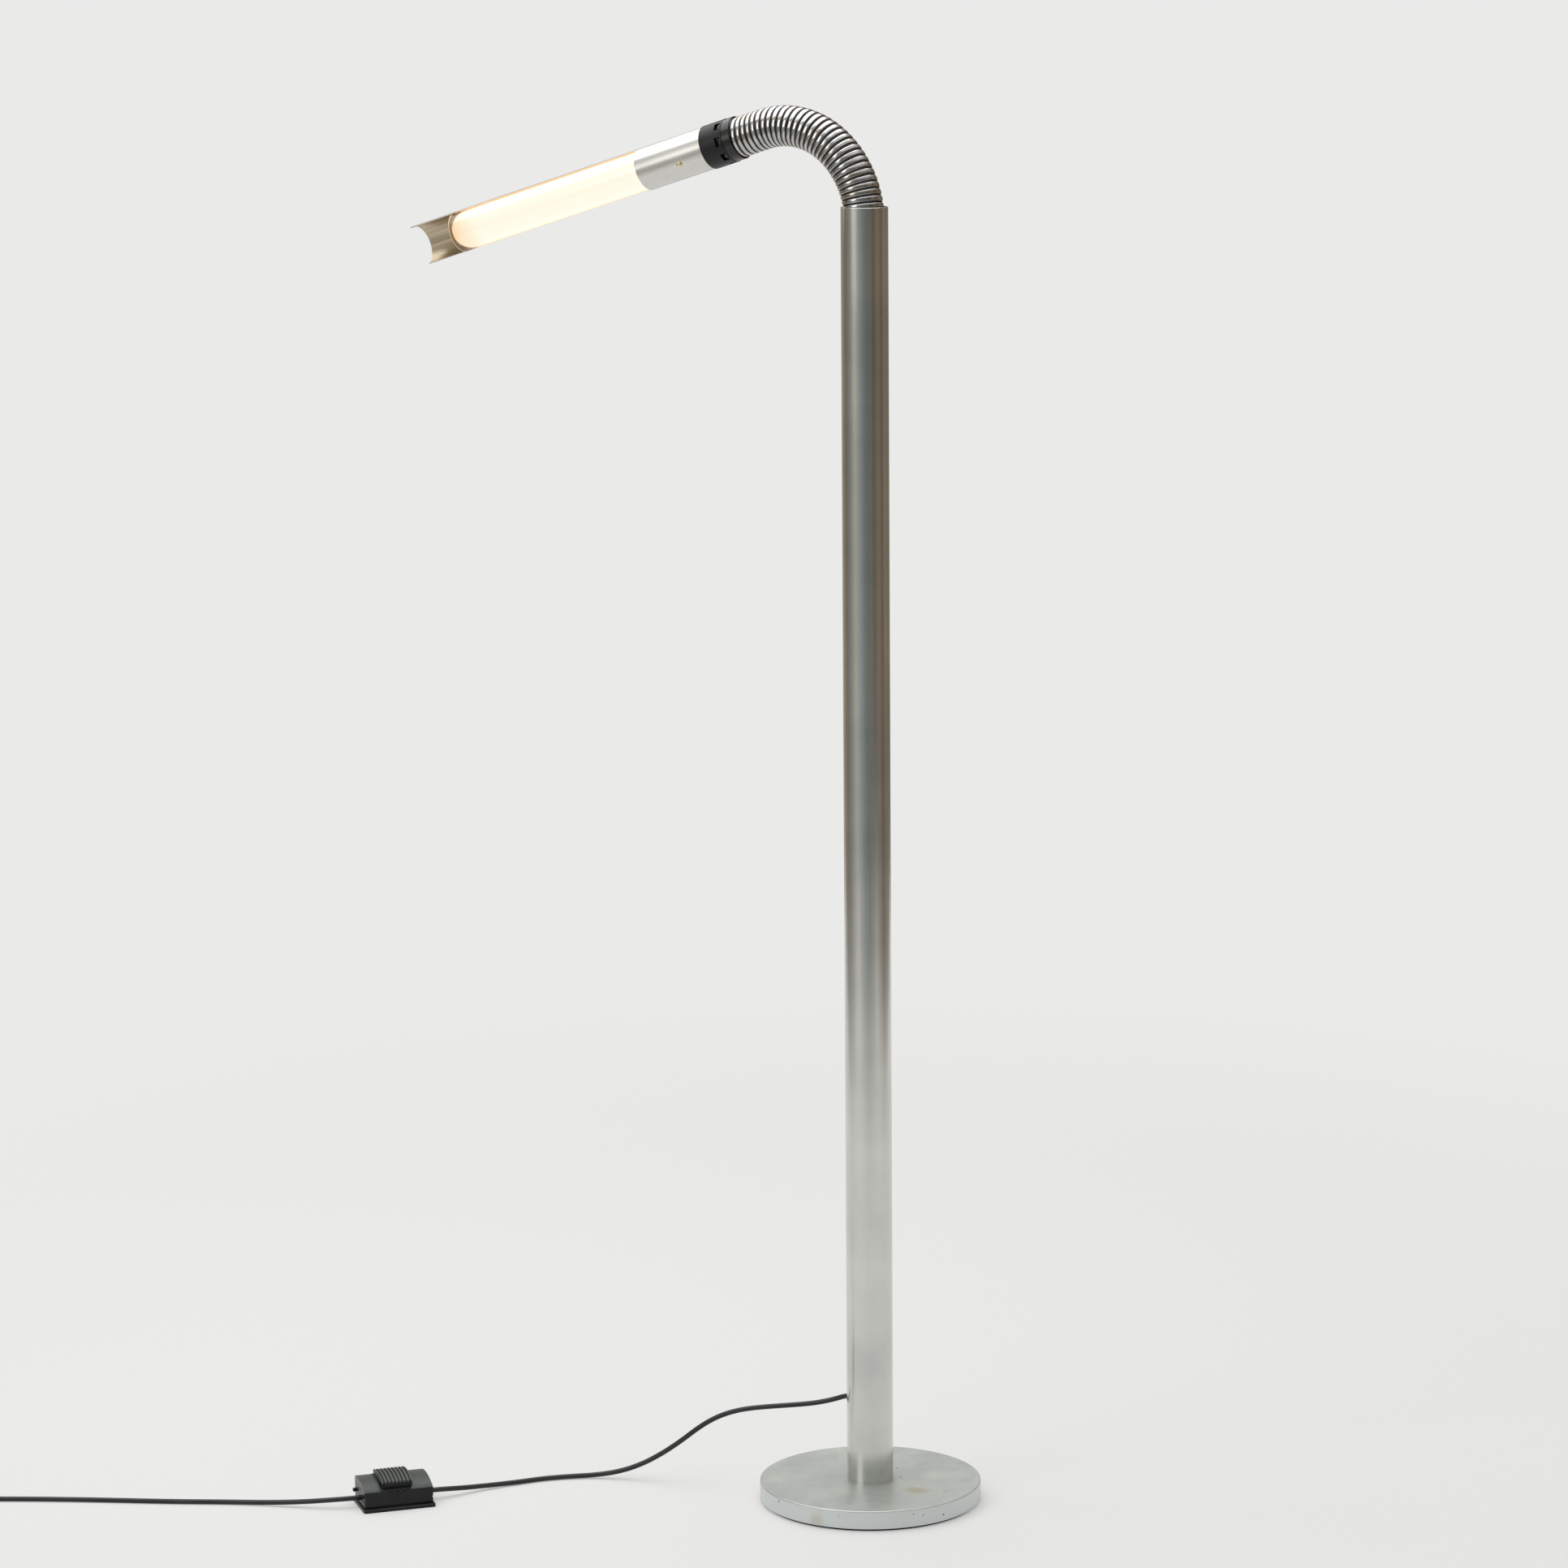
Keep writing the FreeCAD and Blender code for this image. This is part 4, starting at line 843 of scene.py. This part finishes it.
def clearGlass(sizes):
    # clear drawn glass tube: what is behind it comes through, tinted orange where the wall is seen edge on as
    # a painted glow of the lamp, under a gloss that grows towards the edge; at its end, three thin painted
    # rings: a tan band, a line of painted shade and a line of painted highlight
    material, tree = newMaterial("clearDrawnGlass")
    facing = addNode(tree, "ShaderNodeLayerWeight", {"Blend": 0.5})
    tint = setRamp(
        addNode(tree, "ShaderNodeValToRGB", {"Fac": (facing, "Facing")}),
        [(0.0, sizes["clear"]), (0.8, sizes["clear"]), (0.97, sizes["edge"])],
    )
    through = addNode(tree, "ShaderNodeBsdfTransparent", {"Color": (tint, 0)})
    gloss = addNode(tree, "ShaderNodeBsdfGlossy", {"Color": (1, 1, 1, 1), "Roughness": 0.03})
    # glass mirrors about 4 % head on; the rise towards the edge goes with the fifth power
    steep = addNode(tree, "ShaderNodeMath", {0: (facing, "Facing"), 1: 5.0}, operation="POWER")
    edge = addNode(tree, "ShaderNodeMath", {0: (steep, 0), 1: 0.5, 2: 0.035}, operation="MULTIPLY_ADD")
    wall = addNode(tree, "ShaderNodeMixShader", {0: (edge, 0), 1: (through, 0), 2: (gloss, 0)})
    where = addNode(tree, "ShaderNodeTexCoord")
    own = addNode(
        tree,
        "ShaderNodeMapping",
        {"Vector": (where, "Object"), "Location": sizes["place"], "Rotation": sizes["turn"]},
        vector_type="TEXTURE",
    )
    parts = addNode(tree, "ShaderNodeSeparateXYZ", {"Vector": (own, 0)})
    low, high = (v * mm for v in sizes["rim"])
    share = addNode(tree, "ShaderNodeMapRange", {"Value": (parts, "Z"), "From Min": low, "From Max": high})
    # the rim's lines are painted: a tan band, then a dark line of painted shade and a pale line of painted
    # highlight
    paintedRimLines = setRamp(addNode(tree, "ShaderNodeValToRGB", {"Fac": (share, 0)}), sizes["paintedRimLines"])
    stained = addNode(tree, "ShaderNodeBsdfPrincipled", {"Base Color": (paintedRimLines, 0), "Roughness": 0.25})
    atRim = addNode(tree, "ShaderNodeMath", {0: (parts, "Z"), 1: low}, operation="GREATER_THAN")
    surface = addNode(tree, "ShaderNodeMixShader", {0: (atRim, 0), 1: (wall, 0), 2: (stained, 0)})
    finishMaterial(tree, surface)
    return material


def platedStrip(sizes):
    # nickel plated steel strip, rolled and wound: bright on the crowns, dull down in the grooves, where the
    # near-black colour is painted shade
    material, tree = newMaterial("platedStripSteel")
    place = addNode(tree, "ShaderNodeTexCoord")
    cloud = addNode(tree, "ShaderNodeTexNoise", {"Vector": (place, "Object"), "Scale": 90, "Detail": 4})
    plated = setRamp(
        addNode(tree, "ShaderNodeValToRGB", {"Fac": (cloud, 0)}),
        [(0.35, sizes["warm"]), (0.65, sizes["plate"])],
    )
    # the attribute keeps the crowns' plated colour and gives the grooves painted shade
    crown = addNode(tree, "ShaderNodeAttribute", attribute_name="crownUnshaded")
    colour = addNode(
        tree,
        "ShaderNodeMix",
        {"Factor": (crown, "Fac"), "A": srgbToLinear(sizes["groove"]), "B": (plated, 0)},
        data_type="RGBA",
    )
    rough = addNode(
        tree, "ShaderNodeMapRange", {"Value": (crown, "Fac"), "To Min": 0.5, "To Max": sizes["roughness"]}
    )
    surface = addNode(
        tree,
        "ShaderNodeBsdfPrincipled",
        {"Base Color": (colour, 2), "Metallic": 1.0, "Roughness": (rough, 0)},
    )
    finishMaterial(tree, surface)
    return material


poleMetal = anodisedAluminium("groundAnodisedAluminium", poleFinish)
shadeFinish = dict(
    poleFinish,
    place=shadePlace,
    turn=shadeTurn,
    roughness=0.3,
    dark="#cbcbc5",
    middle="#d6d5d0",
    light="#dedcd8",
    bore=headSizes["shadeInner"] + 0.5,
    # the bore's brown tones are painted warm light from the lamp
    boreDark="#af9e87",
    boreLight="#c6b9a0",
    boreDull=0.12,
    streakGap=3,
    scratch=(-10.7, -19.2, 406.6),
    scratchReach=(0.6, 0.6, 6.5),
    scratchTone="#f0ece0",
    litRadius=22.85,
    litReach=(352, 368),
    litAcross=10,
    litLower="#fbeeda",
    litUpper="#d89f6e",
)
baseFinish = {
    "dark": "#b7bdb9",
    "middle": "#c3c8c4",
    "light": "#cdd1cd",
    "roughness": 0.4,
    "bump": 0.12,
    "blotchScale": 26,  # blotches about 38 mm apart
    "sprayGrain": 1 / 0.9,  # the spray's orange peel, in millimetres
    "sprayDepth": 0.03,
    "rimTop": 21.5,
    # below rimTop the side takes painted light, at this share of the rim colour
    "sideLightShare": 0.75,
    "rim": "#dadfdf",
    "rust": "#a79460",
    "speck": "#2b2d2b",
    "speckScale": 34,  # cells about 30 mm wide, of which a few hold a speck
    "speckShare": 0.16,
    # each stain: spot, reach and strength; each mark: spot and reach
    "stains": [((48.6, -44.4, 22.5), 17, 0.5), ((-57.7, -105.2, 8), 10, 0.28)],
    "marks": [
        ((29.6, 35.1, 22.5), 1.3),
        ((33.3, 2.5, 22.5), 1.5),
        ((-38.3, 80.8, 22.5), 1.1),
        ((80.3, -46.1, 22.5), 0.9),
        ((64.8, 40.8, 22.5), 0.8),
        ((78.4, -90.9, 9.9), 1.2),
        ((-98.2, -69.0, 18.8), 1.0),
        ((-98.6, -68.4, 16.9), 0.8),
        ((46.0, -110.8, 16.8), 0.8),
        ((56.4, -105.9, 13.9), 0.8),
        ((-33.8, -115.1, 16.6), 0.6),
    ],
}
baseMetal = satinSilver(baseFinish)
# the groove colour is painted shade, laid where the strip's grooves sit
stripSteel = platedStrip({"plate": "#c3c6c8", "warm": "#b0a9a0", "groove": "#0e0d0c", "roughness": 0.13})
zincSteel = polishedMetal("zincPlatedSteel", "#c4c6c8", 0.3, "#b5b2a8", 120)  # cool grey, a little dulled
# yellow zinc, made pale as a painted glint on the screw head
glintPaleZinc = polishedMetal("yellowZincPaleAsGlint", "#f0e6c0", 0.42, "#e0d2a0", 400)  # pale straw yellow
yellowBrass = polishedMetal("turnedBrass", "#c9ab62", 0.25, "#b08d4c", 120)  # warm and clear of tarnish
# nylon, satin on the collar and glossier on the ring inside it
collarPlastic = mouldedPlastic(
    "blackNylon",
    {
        "grainSize": 0.5,
        "rubScale": 60,
        "dark": "#0b0d0c",
        "light": "#1a1c1b",
        "roughness": 0.42,
        "bump": 0.15,
        "ior": 1.4,
    },
)
ringPlastic = mouldedPlastic(
    "glossBlackNylon",
    {"grainSize": 0.5, "rubScale": 60, "dark": "#0d0d0c", "light": "#1c1a18", "roughness": 0.2, "bump": 0.05},
)
# the foot switch's ABS, coarsely sparked: greyish black; the pedal's ribs carry painted light and their
# grooves painted shade
switchPlastic = mouldedPlastic(
    "mouldedAbs",
    {
        "grainSize": 0.45,
        "rubScale": 45,
        "dark": "#0f1211",
        "light": "#1d2120",
        "roughness": 0.28,
        "bump": 0.5,
        "ior": 1.34,
        "dustAndTopLight": {"from": 20.3, "full": 24, "speckSize": 1.4, "thinnest": 0.45, "tone": "#474c49"},
    },
)
pedalPlastic = mouldedPlastic(
    "ribbedAbs",
    {
        "grainSize": 0.45,
        "rubScale": 45,
        "dark": "#0f1211",
        "light": "#1d2120",
        "roughness": 0.45,
        "bump": 0.3,
        "ior": 1.3,
        "ribs": {
            "place": tuple(v * mm for v in cordSizes["switchPlace"]) + (0,),
            "turn": (0, 0, math.radians(cordSizes["switchTurn"])),
            "first": -17,
            "pitch": 4.1,
            "groove": 1.8,
            "above": 29.5,
            # painted shade in the grooves and painted light on the tops of the ribs
            "ribGrooveShade": "#020202",
            "ribTopLight": "#4f5450",
        },
    },
)
# soft black sheath with a low sheen, dull rubber pad, firmer plug, and the lamp holder's cream glaze
flexSheath = mouldedPlastic(
    "softPvcSheath",
    {"grainSize": 0.6, "rubScale": 30, "dark": "#121212", "light": "#262626", "roughness": 0.38, "bump": 0.1},
)
padRubber = mouldedPlastic(
    "pressedRubber",
    {"grainSize": 0.8, "rubScale": 20, "dark": "#1d1c1a", "light": "#34322e", "roughness": 0.8, "bump": 0.4},
)
plugPlastic = mouldedPlastic(
    "mouldedPvcPlug",
    {"grainSize": 0.5, "rubScale": 40, "dark": "#141414", "light": "#272727", "roughness": 0.4, "bump": 0.15},
)
glazedCeramic = mouldedPlastic(
    "glazedCeramic",
    {
        "grainSize": 0.6,
        "rubScale": 30,
        "dark": "#dcd9cf",
        "light": "#efece4",
        "roughness": 0.22,
        "bump": 0.05,
    },
)
lampGlass = opalGlass(
    {
        "domeTip": domeTip,
        "domeReach": (4, 52),
        "tint": "#f2e6d9",
        "domeTint": "#efb97e",
        "unlit": "#9a948a",
        "strength": 1.0,
    }
)
guardGlass = clearGlass(
    {
        "clear": "#fefefc",
        # the edge colour is a painted orange glow of the lamp
        "edge": "#f0c9a2",
        "place": shadePlace,
        "turn": shadeTurn,
        "rim": (365.2, 368.0),
        "paintedRimLines": [
            (0.0, "#c89a63"),
            (0.3, "#c89a63"),
            (0.36, "#5d4630"),
            (0.6, "#6b5138"),
            (0.68, "#e6d3ae"),
        ],
    }
)
shadeMetal = anodisedAluminium("groundAnodisedShade", shadeFinish)
print("materials made")

nodeMaterials = {
    "base_disc": baseMetal,
    "base_pad": padRubber,
    "pole_spigot": zincSteel,
    "base_washer": zincSteel,
    "base_bolt": zincSteel,
    "pole": poleMetal,
    "cord_grommet": padRubber,
    "neck_anchor": zincSteel,
    "neck_set_screw": zincSteel,
    "hose_ring": ringPlastic,
    "swivel_collar": collarPlastic,
    "shade": shadeMetal,
    "holder_bracket": zincSteel,
    "lamp_holder": glazedCeramic,
    "holder_nipple": yellowBrass,
    "holder_nut": yellowBrass,
    "holder_thread": yellowBrass,
    "holder_contact": yellowBrass,
    "holder_screw": glintPaleZinc,
    "bulb_contact": yellowBrass,
    "bulb_cap": yellowBrass,
    "bulb_glass": lampGlass,
    "guard_tube": guardGlass,
    "guard_ring": ringPlastic,
    "switch_plate": switchPlastic,
    "switch_cover": switchPlastic,
    "switch_pedal": pedalPlastic,
    "pedal_pin": zincSteel,
    "switch_block": ringPlastic,
    "switch_terminals": yellowBrass,
    "cord_clamps": switchPlastic,
    "switch_screws": zincSteel,
    "plug_boot": plugPlastic,
    "plug_body": plugPlastic,
    "plug_pins": yellowBrass,
}
for nodeName, material in nodeMaterials.items():
    dress(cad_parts[nodeName], material)


def woundHose(name, fromTurn, toTurn, sizes):
    # strip wound in a helix: a point goes once round for each turn while it travels one pitch, at the
    # radius that the strip's section has at its share of the turn
    steps = (toTurn - fromTurn) * sizes["perTurn"] + 1
    turns = np.linspace(fromTurn, toTurn, steps)[:, None]
    angle = np.linspace(0, 2 * np.pi, sizes["around"] + 1)[None, :]
    along = sizes["firstJoint"] + sizes["pitch"] * (turns - angle / (2 * np.pi))
    knots = np.array(sizes["profile"])
    radius = np.interp(np.mod(turns, 1.0), knots[:, 0], knots[:, 1]) + 0 * angle
    # the share clear of the grooves' painted shade: 1 on the crowns, 0 down in the grooves
    unshadedShare = np.interp(np.mod(turns, 1.0), knots[:, 0], knots[:, 2]) + 0 * angle
    place, inside, level, _ = neckLine(along, sizes)
    outward = np.cos(angle)[..., None] * inside + np.sin(angle)[..., None] * level
    points = place + radius[..., None] * outward
    hose = gridMesh(name, points * mm, closeAround=False)
    grooveShadeLayer = hose.data.attributes.new("crownUnshaded", "FLOAT", "POINT")
    grooveShadeLayer.data.foreach_set("value", unshadedShare.ravel().astype(np.float32))
    return weldPiece(hose)


def innerLead(name, start, stop, sizes):
    # round flex on the hose's middle line: a circle of the cord's radius carried along it
    along = np.linspace(start, stop, sizes["leadRings"])[:, None]
    angle = np.linspace(0, 2 * np.pi, sizes["leadSides"], endpoint=False)[None, :]
    place, inside, level, _ = neckLine(along + 0 * angle, sizes)
    outward = np.cos(angle)[..., None] * inside + np.sin(angle)[..., None] * level
    return gridMesh(name, (place + cordRadius * outward) * mm, capEnds=True)


def makeNeck(sizes):
    # one hose piece and one stretch of lead about each joint; a hose piece starts one turn before its joint
    # and stops one turn before the next
    turnsEach = sizes["turnsPerSection"]
    section = sizes["pitch"] * turnsEach
    last = sizes["jointCount"] - 1
    for k in range(sizes["jointCount"]):
        start = sizes["firstTurn"] if k == 0 else turnsEach * k - 1
        stop = sizes["lastTurn"] if k == last else turnsEach * (k + 1) - 1
        joint = sizes["firstJoint"] + section * k
        hose = woundHose(f"woundHose{k}", start, stop, sizes)
        dress(hose, stripSteel)
        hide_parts(f"hose_section_{k}", *(["hose_section_9"] if k == last else []))
        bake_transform(hose)
        leadStart = sizes["leadStart"] if k == 0 else joint - section / 2
        leadStop = sizes["leadStop"] if k == last else joint + section / 2
        lead = innerLead(f"neckLead{k}", leadStart, leadStop, sizes)
        dress(lead, flexSheath)
        if k == 0:
            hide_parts("neck_lead")
        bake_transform(lead)


makeNeck(hoseSizes)
print("gooseneck wound")

# the contact spring under the pedal: its outline is (across the switch, height) in millimetres
leafSizes = {
    "width": (-8, 0),
    "outline": [
        (10, 12.4),
        (10, 12.8),
        (2.2, 12.8),
        (-9.8, 27.4),
        (-13, 27.4),
        (-13, 27),
        (-10, 27),
        (2, 12.4),
    ],
    "pressedShare": 0.86,
}


def makeLeafSpring(sizes):
    # a bent strip: its outline across the switch, drawn out along the switch for its width
    switchX, switchY = cordSizes["switchPlace"]
    turn = math.radians(cordSizes["switchTurn"])
    outline = np.array(sizes["outline"], dtype=float)[None, :, :]
    across = np.array(sizes["width"], dtype=float)[:, None]
    x = switchX + across * math.cos(turn) - outline[..., 0] * math.sin(turn)
    y = switchY + across * math.sin(turn) + outline[..., 0] * math.cos(turn)
    z = outline[..., 1] + 0 * across
    leaf = gridMesh("leafSpring", np.stack([x, y, z], axis=-1) * mm, capEnds=True)
    leaf.data.polygons.foreach_set("use_smooth", np.zeros(len(leaf.data.polygons), dtype=bool))
    dress(leaf, zincSteel)
    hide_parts("pedal_spring")
    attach(leaf, "stand")
    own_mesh(leaf)


makeLeafSpring(leafSizes)
print("leaf spring bent")

headLead = cordCurve("headLead", [tuple(headPlace + headAlong * u) for u in headSizes["leadStations"]])
for lead, body, nodeName in ((poleLead, "stand", "pole_lead"), (headLead, "head", "head_lead")):
    dress(lead, flexSheath)
    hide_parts(nodeName)
    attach(lead, body)
for cord, replaced in (
    (flexToSwitch, ["flex_to_switch"]),
    (flexToPlug, ["flex_to_coil", "flex_coil", "flex_to_plug"]),
):
    dress(cord, flexSheath)
    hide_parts(*replaced)
    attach(cord, "stand")

# places and lengths in metres, lamp power in watts
studio = {
    "paper": "#eaeae9",
    "middle": (0, 0.45),
    "reach": (2.3, 2.75),
    "mattPaper": "#dbdbda",
    "evenNear": 0.35,
    "evenFade": (0.22, 0.85),
    "lamps": [
        {
            "name": "overheadSoftbox",
            "place": (-0.6, 0.7, 3.3),
            "aim": (0, 0.2, 0.4),
            "size": (3.4, 3.4),
            "power": 62,
        },
        {
            "name": "sideFill",
            "place": (-2.7, -2.0, 2.3),
            "aim": (0, 0, 0.5),
            "size": (1.6, 2.0),
            "power": 20,
        },
    ],
    "roomTop": "#f2f2f2",
    # the room round the lamp: share of the full turn from straight behind it, through its left, the
    # camera's side at one half, and its right
    "roomBands": [
        (0.0, "#b7b4ad"),
        (0.06, "#bbb4ab"),
        (0.12, "#a3907f"),
        (0.2, "#7c746b"),
        (0.28, "#8e8f8c"),
        (0.35, "#b3b2a6"),
        (0.41, "#a0a2a3"),
        (0.48, "#7b8182"),
        (0.53, "#70746c"),
        (0.59, "#72736b"),
        (0.61, "#57544d"),
        (0.65, "#7d7063"),
        (0.70, "#8a7765"),
        (0.74, "#625b54"),
        (0.79, "#8f7f70"),
        (0.87, "#7b7463"),
        (0.94, "#87827a"),
        (1.0, "#b7b4ad"),
    ],
}


def paperFloor(sizes):
    # a level rectangle of paper: middle plus reach times a share from -1 to 1, each way
    lines = 9
    across = np.linspace(-1, 1, lines)
    points = np.zeros((lines, lines, 3))
    points[..., 0] = sizes["middle"][0] + sizes["reach"][0] * across[None, :]
    points[..., 1] = sizes["middle"][1] + sizes["reach"][1] * across[:, None]
    floor = gridMesh("paperFloor", points, closeAround=False)
    material, tree = newMaterial("backgroundPaper")
    paper = srgbToLinear(sizes["paper"])
    matt = addNode(tree, "ShaderNodeBsdfDiffuse", {"Color": srgbToLinear(sizes["mattPaper"])})
    even = addNode(tree, "ShaderNodeEmission", {"Color": paper, "Strength": 1.0})
    path = addNode(tree, "ShaderNodeLightPath")
    seen = addNode(
        tree, "ShaderNodeMath", {0: (path, "Is Camera Ray"), 1: (path, "Is Glossy Ray")}, operation="ADD"
    )
    seen = addNode(tree, "ShaderNodeMath", {0: (seen, 0), 1: (path, "Is Transmission Ray")}, operation="ADD")
    seen.use_clamp = True
    # near the lamp the paper keeps its shadows; towards its edges it fades into the backdrop's even tone
    where = addNode(tree, "ShaderNodeTexCoord")
    spread = addNode(
        tree,
        "ShaderNodeVectorMath",
        {0: (where, "Object"), 1: tuple(1 / v for v in sizes["reach"]) + (0,)},
        operation="MULTIPLY",
    )
    middle = tuple(m / r for m, r in zip(sizes["middle"], sizes["reach"])) + (0,)
    away = addNode(tree, "ShaderNodeVectorMath", {0: (spread, 0), 1: middle}, operation="DISTANCE")
    fadeStart, fadeStop = sizes["evenFade"]
    evenShare = addNode(
        tree,
        "ShaderNodeMapRange",
        {
            "Value": (away, "Value"),
            "From Min": fadeStart,
            "From Max": fadeStop,
            "To Min": sizes["evenNear"],
            "To Max": 1.0,
        },
        interpolation_type="SMOOTHSTEP",
    )
    share = addNode(tree, "ShaderNodeMath", {0: (seen, 0), 1: (evenShare, 0)}, operation="MULTIPLY")
    surface = addNode(tree, "ShaderNodeMixShader", {0: (share, 0), 1: (matt, 0), 2: (even, 0)})
    finishMaterial(tree, surface)
    material.cycles.emission_sampling = "NONE"  # the even tone is only looked at and lights nothing
    dress(floor, material)


def areaLamp(sizes):
    # a white rectangle of light that looks from its place to its aim
    light = bpy.data.lights.new(sizes["name"], "AREA")
    light.shape = "RECTANGLE"
    light.size, light.size_y = sizes["size"]
    light.energy = sizes["power"]
    lamp = bpy.data.objects.new(sizes["name"], light)
    lamp.location = sizes["place"]
    ahead = Vector(sizes["aim"]) - Vector(sizes["place"])
    lamp.rotation_euler = ahead.to_track_quat("-Z", "Y").to_euler()
    scene.collection.objects.link(lamp)


def makeWorld(sizes):
    # an even backdrop to the eye; in the metal, a dim room with soft upright bands of brown and blue grey,
    # lighter overhead
    world = bpy.data.worlds.new("studioRoom")
    scene.world = world
    world.use_nodes = True
    tree = world.node_tree
    tree.nodes.clear()
    where = addNode(tree, "ShaderNodeTexCoord")
    parts = addNode(tree, "ShaderNodeSeparateXYZ", {"Vector": (where, "Generated")})
    back = addNode(tree, "ShaderNodeMath", {0: (parts, "Y"), 1: -1.0}, operation="MULTIPLY")
    azimuth = addNode(tree, "ShaderNodeMath", {0: (parts, "X"), 1: (back, 0)}, operation="ARCTAN2")
    share = addNode(
        tree, "ShaderNodeMapRange", {"Value": (azimuth, 0), "From Min": -math.pi, "From Max": math.pi}
    )
    bands = setRamp(addNode(tree, "ShaderNodeValToRGB", {"Fac": (share, 0)}), sizes["roomBands"])
    high = addNode(
        tree,
        "ShaderNodeMapRange",
        {"Value": (parts, "Z"), "From Min": 0.3, "From Max": 0.8},
        interpolation_type="SMOOTHSTEP",
    )
    colour = addNode(
        tree,
        "ShaderNodeMix",
        {"Factor": (high, 0), "A": (bands, 0), "B": srgbToLinear(sizes["roomTop"])},
        data_type="RGBA",
    )
    light = addNode(tree, "ShaderNodeBackground", {"Color": (colour, 2), "Strength": 1.0})
    backdrop = addNode(tree, "ShaderNodeBackground", {"Color": srgbToLinear(sizes["paper"]), "Strength": 1.0})
    path = addNode(tree, "ShaderNodeLightPath")
    surface = addNode(
        tree, "ShaderNodeMixShader", {0: (path, "Is Camera Ray"), 1: (light, 0), 2: (backdrop, 0)}
    )
    addNode(tree, "ShaderNodeOutputWorld", {"Surface": (surface, 0)})


paperFloor(studio)
makeWorld(studio)
for lampSizes in studio["lamps"]:
    areaLamp(lampSizes)
scene.view_settings.view_transform = "Standard"
print("studio lit")

bpy.context.view_layer.update()
